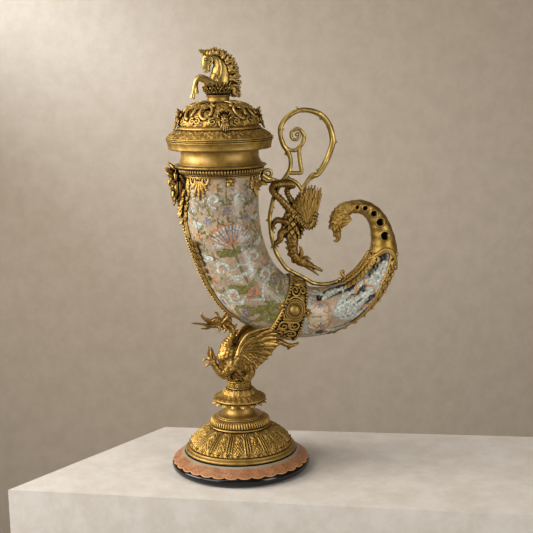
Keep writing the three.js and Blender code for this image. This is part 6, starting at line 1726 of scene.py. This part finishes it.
def eagle_head():
    cast = Casting(EAGLE, sides=16, steps=7)
    # Neck and skull, upper and lower beak, eyes and brows
    cast.add_limb([(6, 0, 1, 7.4, 7.2), (1, 0, 0, 7.8, 7.6), (-9, 0, -4, 9.2, 8), (-18, 0, -14, 9.2, 8.0),
                   (-20.5, 0, -24, 7.6, 6.8), (-18.5, 0, -32, 5, 5)],
                  feathered(rows=14, columns=14, height=1.1), sides=56)
    cast.add_limb([(-19, 0, -28, 5.2, 4.6), (-18, 0, -36, 4.2, 4.0), (-17, 0, -41, 3.2, 3.4),
                   (-20, 0, -45, 2, 2.2), (-24.5, 0, -44, 0.9)])
    cast.add_limb([(-20, 0, -30, 3.4, 3.2), (-22.5, 0, -36, 2.2, 2.4), (-22.5, 0, -40, 1.0)])
    cast.add_pair([(-22, -5.4, -23, 1.6), (-20.5, -6.4, -26.5, 1.9), (-18, -5.6, -30, 1.1)])
    cast.add_pair([(-24.5, -4, -20.5, 1.4), (-20, -6.6, -22.4, 1.6), (-15.6, -6.2, -27, 1.0)])
    # Pointed feathers in the hollow of the neck
    for x, z, dx, dz in ((-12, -14, 13, -1), (-13, -19, 15, 2), (-11.5, -9, 10, -4), (-14, -24, 13, 6)):
        cast.add_limb([(x, 0, z, 3.6, 3.2), (x + dx * 0.6, 0, z + dz * 0.4, 2.6, 2.2),
                       (x + dx, 0, z + dz, 0.9)])
        cast.add_pair([(x, -4.5, z, 3, 2.4), (x + dx * 0.5, -5, z + dz * 0.4, 2.2, 1.8),
                       (x + dx * 0.85, -4.5, z + dz, 0.9)])
    nape = [(3, 0, 0.5, 7.6, 7.4), (-9, 0, -4, 9.2, 8), (-18, 0, -14, 9.2, 8.0), (-20.5, 0, -24, 7.4, 6.6)]
    plumage(cast.bm, moved(nape, EAGLE), count=10, long=7.5, rows=9, depth=0.86)
    piece("eagle_head_cast", cast.bm, chased, "ewer", slot="gilt_bronze", cast=0.45)


def front_strip():
    """A broad rail down the horn's front with a knobbed edge, leaf curls and a cluster midway."""
    bm = bmesh.new()
    run = np.linspace(0.75, 5.25, 28)
    for angle, lift, radius in ((0, 1.6, 2.6), (5.6, 1.0, 2.5), (-5.6, 1.0, 2.5), (10.6, 0.5, 2.2),
                                (-10.6, 0.5, 2.2)):
        limb(bm, horn_path([(s, angle, lift, radius) for s in run]), sides=10, steps=3)
    for k in range(46):
        station = lerp(0.85, 5.2, k / 45)
        stamp(bm, BEAD, horn_seat(station, 0, 4.0) @ size_of(1.9, 2.2, 1.9))
        if k % 4 == 1:
            for hand in (-1, 1):
                stamp(bm, SMALL_LEAF, horn_seat(station, hand * 4, 2.6, 180 + hand * 30) @ size_of(9, 8, 8))
    for k in range(6):
        station = lerp(2.5, 3.7, k / 5)
        for angle, spin in ((7, 158), (15, 146), (22, 136)):
            for hand in (-1, 1):
                place = horn_seat(station, hand * angle, 1.2, hand * spin) @ Matrix.Rotation(-0.16, 4, "Y")
                stamp(bm, LEAF, place @ size_of(15 - k, 12, 11))
    piece("front_rail", bm, chased, "ewer", "front_strip")


def tail_strip():
    """Berries and leaf curls along the outer curve behind the collar, on a fluted band."""
    bm = bmesh.new()
    along = np.linspace(0, 1, 26)

    def edge(t):
        return 72 * min(1, 0.2 + 1.3 * t)

    flutes = [(share, -2.2, 3.3) for share in (0.2, 0.4, 0.6, 0.8)]
    for share, lift, radius in ((0, -0.6, 2.0), *flutes, (1, 0.3, 1.6)):
        for hand in ((-1, 1) if share else (1,)):
            path = [(lerp(8.6, 12.9, t), hand * share * edge(t), lift, radius * min(1, 0.5 + 2 * t))
                    for t in along]
            limb(bm, horn_path(path), sides=10, steps=3)
    for hand in (-1, 1):
        for k in range(12):
            t = k / 11
            station = lerp(8.9, 12.7, t)
            stamp(bm, BEAD, horn_seat(station, hand * 0.6 * edge(t), 0.9) @ size_of(lerp(2.2, 3.6, t)))
            place = horn_seat(station, hand * 0.8 * edge(t), 0.8, 180 - hand * 40)
            stamp(bm, SMALL_LEAF, place @ size_of(lerp(6, 9, t), 8, 7))
    piece("tail_berries", bm, chased, "ewer", "tail_strip")


def tail_leaf():
    """Acanthus climbing the inner curve to the bronze tip, curled up at its lower end."""
    bm = bmesh.new()
    limb(bm, horn_path([(s, 180, 0.8, 2.4) for s in np.linspace(9.9, 12.6, 16)]), sides=12, steps=3)
    for k in range(8):
        station = lerp(12.6, 10.3, k / 7)
        long = lerp(18, 13, k / 7)
        for angle, spin in ((-30, 215), (-14, 200), (0, 180), (14, 160), (30, 145)):
            place = horn_seat(station, 180 + angle, 1.0, spin) @ Matrix.Rotation(-0.2, 4, "Y")
            stamp(bm, LEAF, place @ size_of(long, long * 0.85, long * 0.8))
    foot_x, _, foot_z = on_horn(10.1, 180, 1)
    curl(bm, (foot_x + 5, foot_z), (foot_x, foot_z + 5), (foot_x - 3, foot_z + 9), radius=2.2, turns=0.8,
         size=2.6, hand=-1)
    piece("tail_acanthus", bm, chased, "ewer", "tail_leaf")


def tail_frame():
    """C-scrolls on both sides along the arched edge of the bronze tip."""
    bm = bmesh.new()
    for side in (90, -90):
        for reach, back, lift, radius in ((66, 0.0, 1.4, 2.6), (56, 0.14, 1.6, 1.7)):
            path = [(float(tip_edge(side + off)) - back, side + off, lift, radius)
                    for off in np.linspace(-reach, reach, 15)]
            limb(bm, horn_path(path), sides=10, steps=4)
        for off in (-40, 40):
            horn_scroll(bm, 12.1, side + off, reach=5.8, turns=1.4, start=90, hand=1 if off > 0 else -1,
                        radius=2.2, lift=1.8)
            stamp(bm, LEAF, horn_seat(12.5, side + 0.85 * off, 1.2, 180) @ size_of(14, 12, 11))
    piece("tail_frame_scrolls", bm, chased, "ewer", slot="gilt_bronze")


# Pendants below the mouth

def palmettes():
    for hand, side in ((1, "near"), (-1, "far")):
        middle = hand * 49
        bm = pendant(0.12, middle, leaves=2, long=10, wide=8, first=-120, step=240)
        for turn in (-1, 1):
            horn_scroll(bm, 0.2, middle + turn * 9.5, reach=6.6, turns=1.5, start=180 if turn > 0 else 0,
                        hand=turn, radius=1.8, lift=1.6)
        for spin, long in ((0, 25), (-20, 22), (20, 22), (-42, 17), (42, 17)):
            blade = horn_seat(0.16, middle, 0.9, spin)
            stamp(bm, LEAF, blade @ size_of(long, 9, 9))
            stamp(bm, BEAD, blade @ Matrix.Translation((long, 0, 1.2)) @ size_of(1.7))
        piece(f"palmette_{side}_fan", bm, chased, "ewer", f"palmette_{side}")
        bm = pendant(0.22, hand * 97, leaves=6, long=8.2, wide=8.5, first=30, step=60)
        piece(f"floret_{side}_petals", bm, chased, "ewer", f"floret_{side}")
        middle = hand * 146
        bm = pendant(0.3, middle, leaves=5, long=15, wide=12, first=-60, step=30)
        stamp(bm, LEAF, horn_seat(0.1, middle, 0.8) @ size_of(28, 18, 16))
        for turn in (-1, 1):
            stamp(bm, LEAF, horn_seat(0.12, middle + turn * 4, 0.9, turn * 32) @ size_of(19, 14, 13))
            horn_scroll(bm, 0.2, middle + turn * 8, reach=4.6, turns=1.3, start=180 if turn > 0 else 0,
                        hand=turn, radius=1.6, lift=1.6)
        piece(f"root_leaf_{side}_scroll", bm, chased, "ewer", f"root_leaf_{side}")


# Handle

def rooted(points):
    """Limb stations from (x, z, radius) points measured from the handle's root."""
    return [(ROOT_X + x, 0, ROOT_Z + z, r) for x, z, r in points]


def bark(u, turn):
    """Relief of a gnarled branch."""
    return 0.22 * np.cos(5 * turn + 60 * u) + 0.3 * ridge(np.sin(48 * u), 0.22)


def thorn(bm, rows, k, hand, spots):
    """A spur on a branch at one of its rows: (out, along, radius) spots from the branch's middle."""
    ahead = rows[k + 1, :3] - rows[k - 1, :3]
    ahead /= np.linalg.norm(ahead)
    out = np.array((-ahead[2], 0, ahead[0])) * hand
    limb(bm, [(*(rows[k, :3] + out * off + ahead * along), radius) for off, along, radius in spots],
         sides=10, steps=3)


BRANCH = [
    (2.4, -4, 4.2), (10, -9, 3.4), (20, -12.5, 3), (28, -14.5, 3), (34, -8, 2.8), (40, 1, 2.7), (41, 14, 2.8),
    (38, 24, 3), (32, 34, 3), (28, 47, 3), (29, 57, 3), (37, 69, 3), (47, 75.5, 3), (58, 78, 3.1),
    (71, 76.5, 3.3), (83, 71, 3.6), (92, 60, 3.8), (97, 47, 3.9), (98, 35, 3.9), (93, 20, 3.8),
    (86, 5, 3.6), (77, -6.5, 3.4), (71, -8, 3.8), (64, -14.5, 2.7), (57.5, -23, 2.6), (55.5, -36, 2.6),
]


def handle_branch():
    bm = bmesh.new()
    twig = [(29, -14, 2.6), (35, -11, 2.5), (43, -13, 2.5), (50, -18, 2.4), (55.5, -26, 2.4)]
    volute = [(17, -11.6, 3.2), (9, -12.4, 3.2), (4, -9, 2.9), (3.6, -3, 2.6), (7.6, 1.6, 2.4),
              (13.6, 0.8, 2.2), (15.2, -4, 2.0), (11.8, -7, 1.8), (8.6, -5, 1.5), (10, -2.4, 1.3)]
    limb(bm, rooted(BRANCH), sides=20, steps=12, relief=bark)
    limb(bm, rooted(twig), sides=16, steps=10, relief=bark)
    limb(bm, rooted(volute), sides=14, steps=8)
    droop = Matrix.Rotation(math.radians(24), 4, "Y")
    for x, z in ((-3, -12), (10, -10)):
        for y in (-2.4, 2.4):
            place = Matrix.Translation((ROOT_X + x, y, ROOT_Z + z)) @ droop
            stamp(bm, LEAF, place @ Matrix.Rotation(math.copysign(1.2, -y), 4, "X") @ size_of(13, 9, 9))
    rows = spline(rooted(BRANCH), 4)
    for k in range(16, len(rows) - 12, 11):
        reach = rows[k, 3]
        spots = [(reach * 0.4, 0, 2.0), (reach + 0.8, 1.5, 1.5), (reach + 1.8, 3.6, 0.8)]
        thorn(bm, rows, k, 1 if k % 2 else -1, spots)
    piece("handle_branch_gnarled", bm, burnished, "ewer", "handle_branch")


def handle_scroll():
    bm = bmesh.new()
    coil = [(35, 30, 2.4), (41, 26.5, 2.4), (48, 26.5, 2.5), (53, 30, 2.5), (58, 36, 2.5), (59.6, 43, 2.4),
            (57, 50, 2.3), (51, 54, 2.2), (44, 51, 2.1), (42.4, 45, 2.0), (45, 40.6, 1.9), (50, 40, 1.8),
            (53.6, 43.4, 1.6), (53, 47.6, 1.5), (50, 48.6, 1.4)]
    bracket = [(53, 30, 2.6), (53, 18, 2.6), (54.2, 8, 2.6), (55.5, 0, 2.5), (55, -3.4, 2.5),
               (48, -3.6, 2.5), (39, -3, 2.4)]
    limb(bm, rooted(coil), sides=16, steps=8, relief=bark)
    limb(bm, rooted(bracket), sides=16, steps=8, relief=bark)
    stamp(bm, BEAD, Matrix.Translation((ROOT_X + 50, 0, ROOT_Z + 46.5)) @ size_of(2.6))
    piece("handle_scroll_tendril", bm, burnished, "ewer", "handle_scroll")


def handle_arc():
    """The arc from the handle's root down the horn's hollow to the tail."""
    bm = bmesh.new()
    upper = rooted([(25.5, -18.5, 3), (16.5, -39, 2.6), (12.4, -58, 2.6), (12.4, -73, 2.6), (15, -92, 2.6),
                    (21, -111, 2.6)])
    lifts = ((6.1, 7.6), (6.6, 8.3), (7.1, 8.3), (7.6, 7.6), (8.1, 5.6), (8.6, 4.2), (9.2, 3.4), (9.75, 3.2))
    lower = horn_path([(station, 180, lift, 2.6) for station, lift in lifts])
    limb(bm, [*upper, *lower], sides=18, steps=10, relief=bark)
    rows = spline(upper, 3)
    for k in range(4, len(rows) - 1, 3):
        thorn(bm, rows, k, -1 if k % 2 else 1, [(1.2, 0, 1.6), (3.6, 1, 1.1), (5, 2.8, 0.7)])
    stamp(bm, BEAD, Matrix.Translation(on_horn(9.9, 180, 4)) @ size_of(3.0))
    piece("handle_arc_gnarled", bm, burnished, "ewer", "handle_arc")


for make in (base_felt, plinth, skirt, foot_ring, foot_dome, gadroon_ring, stem_spool, leaf_pan,
             wreath_collar, support_dragon, saddle, support_wings, neck_ring, neck_mount, mouth_liner,
             horn_front, horn_tail, horn_collar, collar_beads, collar_bosses, eagle_tip, eagle_head,
             front_strip, tail_strip, tail_leaf, tail_frame, front_mask, palmettes, handle_branch,
             handle_scroll, handle_arc, hanging_dragon, dragon_tail_loop, hanging_wings, lid_base, lid_dome,
             lid_bezel, lid_masks, finial_socket, horse, horse_features, horse_mane, horse_foliage,
             hidden_fixings):
    make()


# Floor, wall, light and camera

def flat_stage(name, corners, tone, shade, deep=0.0):
    """A plain pale sheet or slab with a faint stone grain, seen through from behind."""
    bm = bmesh.new()
    face = bm.faces.new([bm.verts.new(corner) for corner in corners])
    if deep:
        drawn = bmesh.ops.extrude_face_region(bm, geom=[face])["geom"]
        lower = [made for made in drawn if isinstance(made, bmesh.types.BMVert)]
        bmesh.ops.translate(bm, vec=(0, 0, -deep), verts=lower)
    bmesh.ops.recalc_face_normals(bm, faces=bm.faces)
    mesh = bpy.data.meshes.new(name)
    bm.to_mesh(mesh)
    bm.free()
    made = bpy.data.objects.new(name, mesh)
    bpy.context.scene.collection.objects.link(made)
    finish, tree, shader = new_finish(name + "_plain", Roughness=0.8)
    grain = noise(tree, object_place(tree), scale=22.0, detail=9.0, rough=0.7)
    behind = add(tree, "ShaderNodeNewGeometry").outputs["Backfacing"]
    joined(tree, shader, Base_Color=mixed(tree, ramped(tree, grain, 0.35, 0.65), tone, shade),
           Normal=bumped(tree, strength=0.25, distance=0.004, height=grain),
           Alpha=maths(tree, "SUBTRACT", 1.0, behind))
    mesh.materials.append(finish)


def lamp(name, place, aim, size, power, spread=180, tint=(1, 0.99, 0.97)):
    made = bpy.data.lights.new(name, "AREA")
    made.shape = "RECTANGLE"
    made.size, made.size_y = size
    made.energy = power
    made.spread = math.radians(spread)
    made.color = tint
    held = bpy.data.objects.new(name, made)
    held.location = place
    held.rotation_euler = (Vector(aim) - Vector(place)).to_track_quat("-Z", "Y").to_euler()
    bpy.context.scene.collection.objects.link(held)


def studio():
    slab = [(-309.6, -23.6), (311.2, -256.9), (1100, -553), (1250, -262), (427.1, 16.2), (-86.4, 190)]
    wall = [(-4, 1.5, -1), (4, 1.5, -1), (4, 1.5, 4), (-4, 1.5, 4)]
    flat_stage("floor", [(x * MM, y * MM, 0) for x, y in slab], colour(228, 219, 208),
               colour(215, 204, 190), deep=0.09)
    flat_stage("wall", wall, colour(233, 213, 189), colour(224, 204, 179))
    lamp("key_box", (-1.6, 0.12, 0.7), (0, 0, 0.25), size=(0.95, 0.9), power=14.5, spread=120)
    lamp("left_box", (-1.25, -0.75, 0.85), (0, 0, 0.28), size=(0.8, 1.3), power=8.2, spread=130)
    lamp("right_box", (1.0, -1.3, 0.55), (0, 0, 0.3), size=(0.5, 1.1), power=11)
    lamp("top_box", (-0.5, -0.1, 1.7), (0, 0, 0.3), size=(0.6, 0.6), power=4)
    lamp("low_box", (-0.5, -1.5, 0.04), (0, 0, 0.36), size=(1.6, 0.25), power=1.3)
    lamp("wall_beam", (-1.05, 1.12, 1.12), (-0.02, 1.5, 0.54), size=(0.1, 0.1), power=1.3, spread=42,
         tint=(0.74, 0.85, 1))
    world = bpy.data.worlds.new("studio")
    world.use_nodes = True
    back = world.node_tree.nodes["Background"]
    back.inputs["Color"].default_value = colour(150, 146, 140)
    back.inputs["Strength"].default_value = 0.24
    bpy.context.scene.world = world


def camera():
    """The photograph's viewpoint: a long lens, ten degrees down and slightly rolled."""
    place = (-0.221113, -1.484152, 0.540275)
    swing, dip, lean = math.radians(10), math.radians(10.1), math.radians(1.2)
    right = Vector((math.cos(swing), -math.sin(swing), 0))
    level = Vector((math.sin(swing), math.cos(swing), 0))
    ahead = level * math.cos(dip) - Vector((0, 0, math.sin(dip)))
    up = level * math.sin(dip) + Vector((0, 0, math.cos(dip)))
    leaned_right = right * math.cos(lean) - up * math.sin(lean)
    leaned_up = up * math.cos(lean) + right * math.sin(lean)
    made = bpy.data.cameras.new("photo_view")
    made.lens = 78.0
    made.sensor_width = 36.0
    held = bpy.data.objects.new("photo_view", made)
    held.matrix_world = seat(leaned_right, leaned_up, -ahead, place)
    bpy.context.scene.collection.objects.link(held)
    bpy.context.scene.camera = held


studio()
camera()
bpy.context.scene.view_settings.view_transform = "Standard"
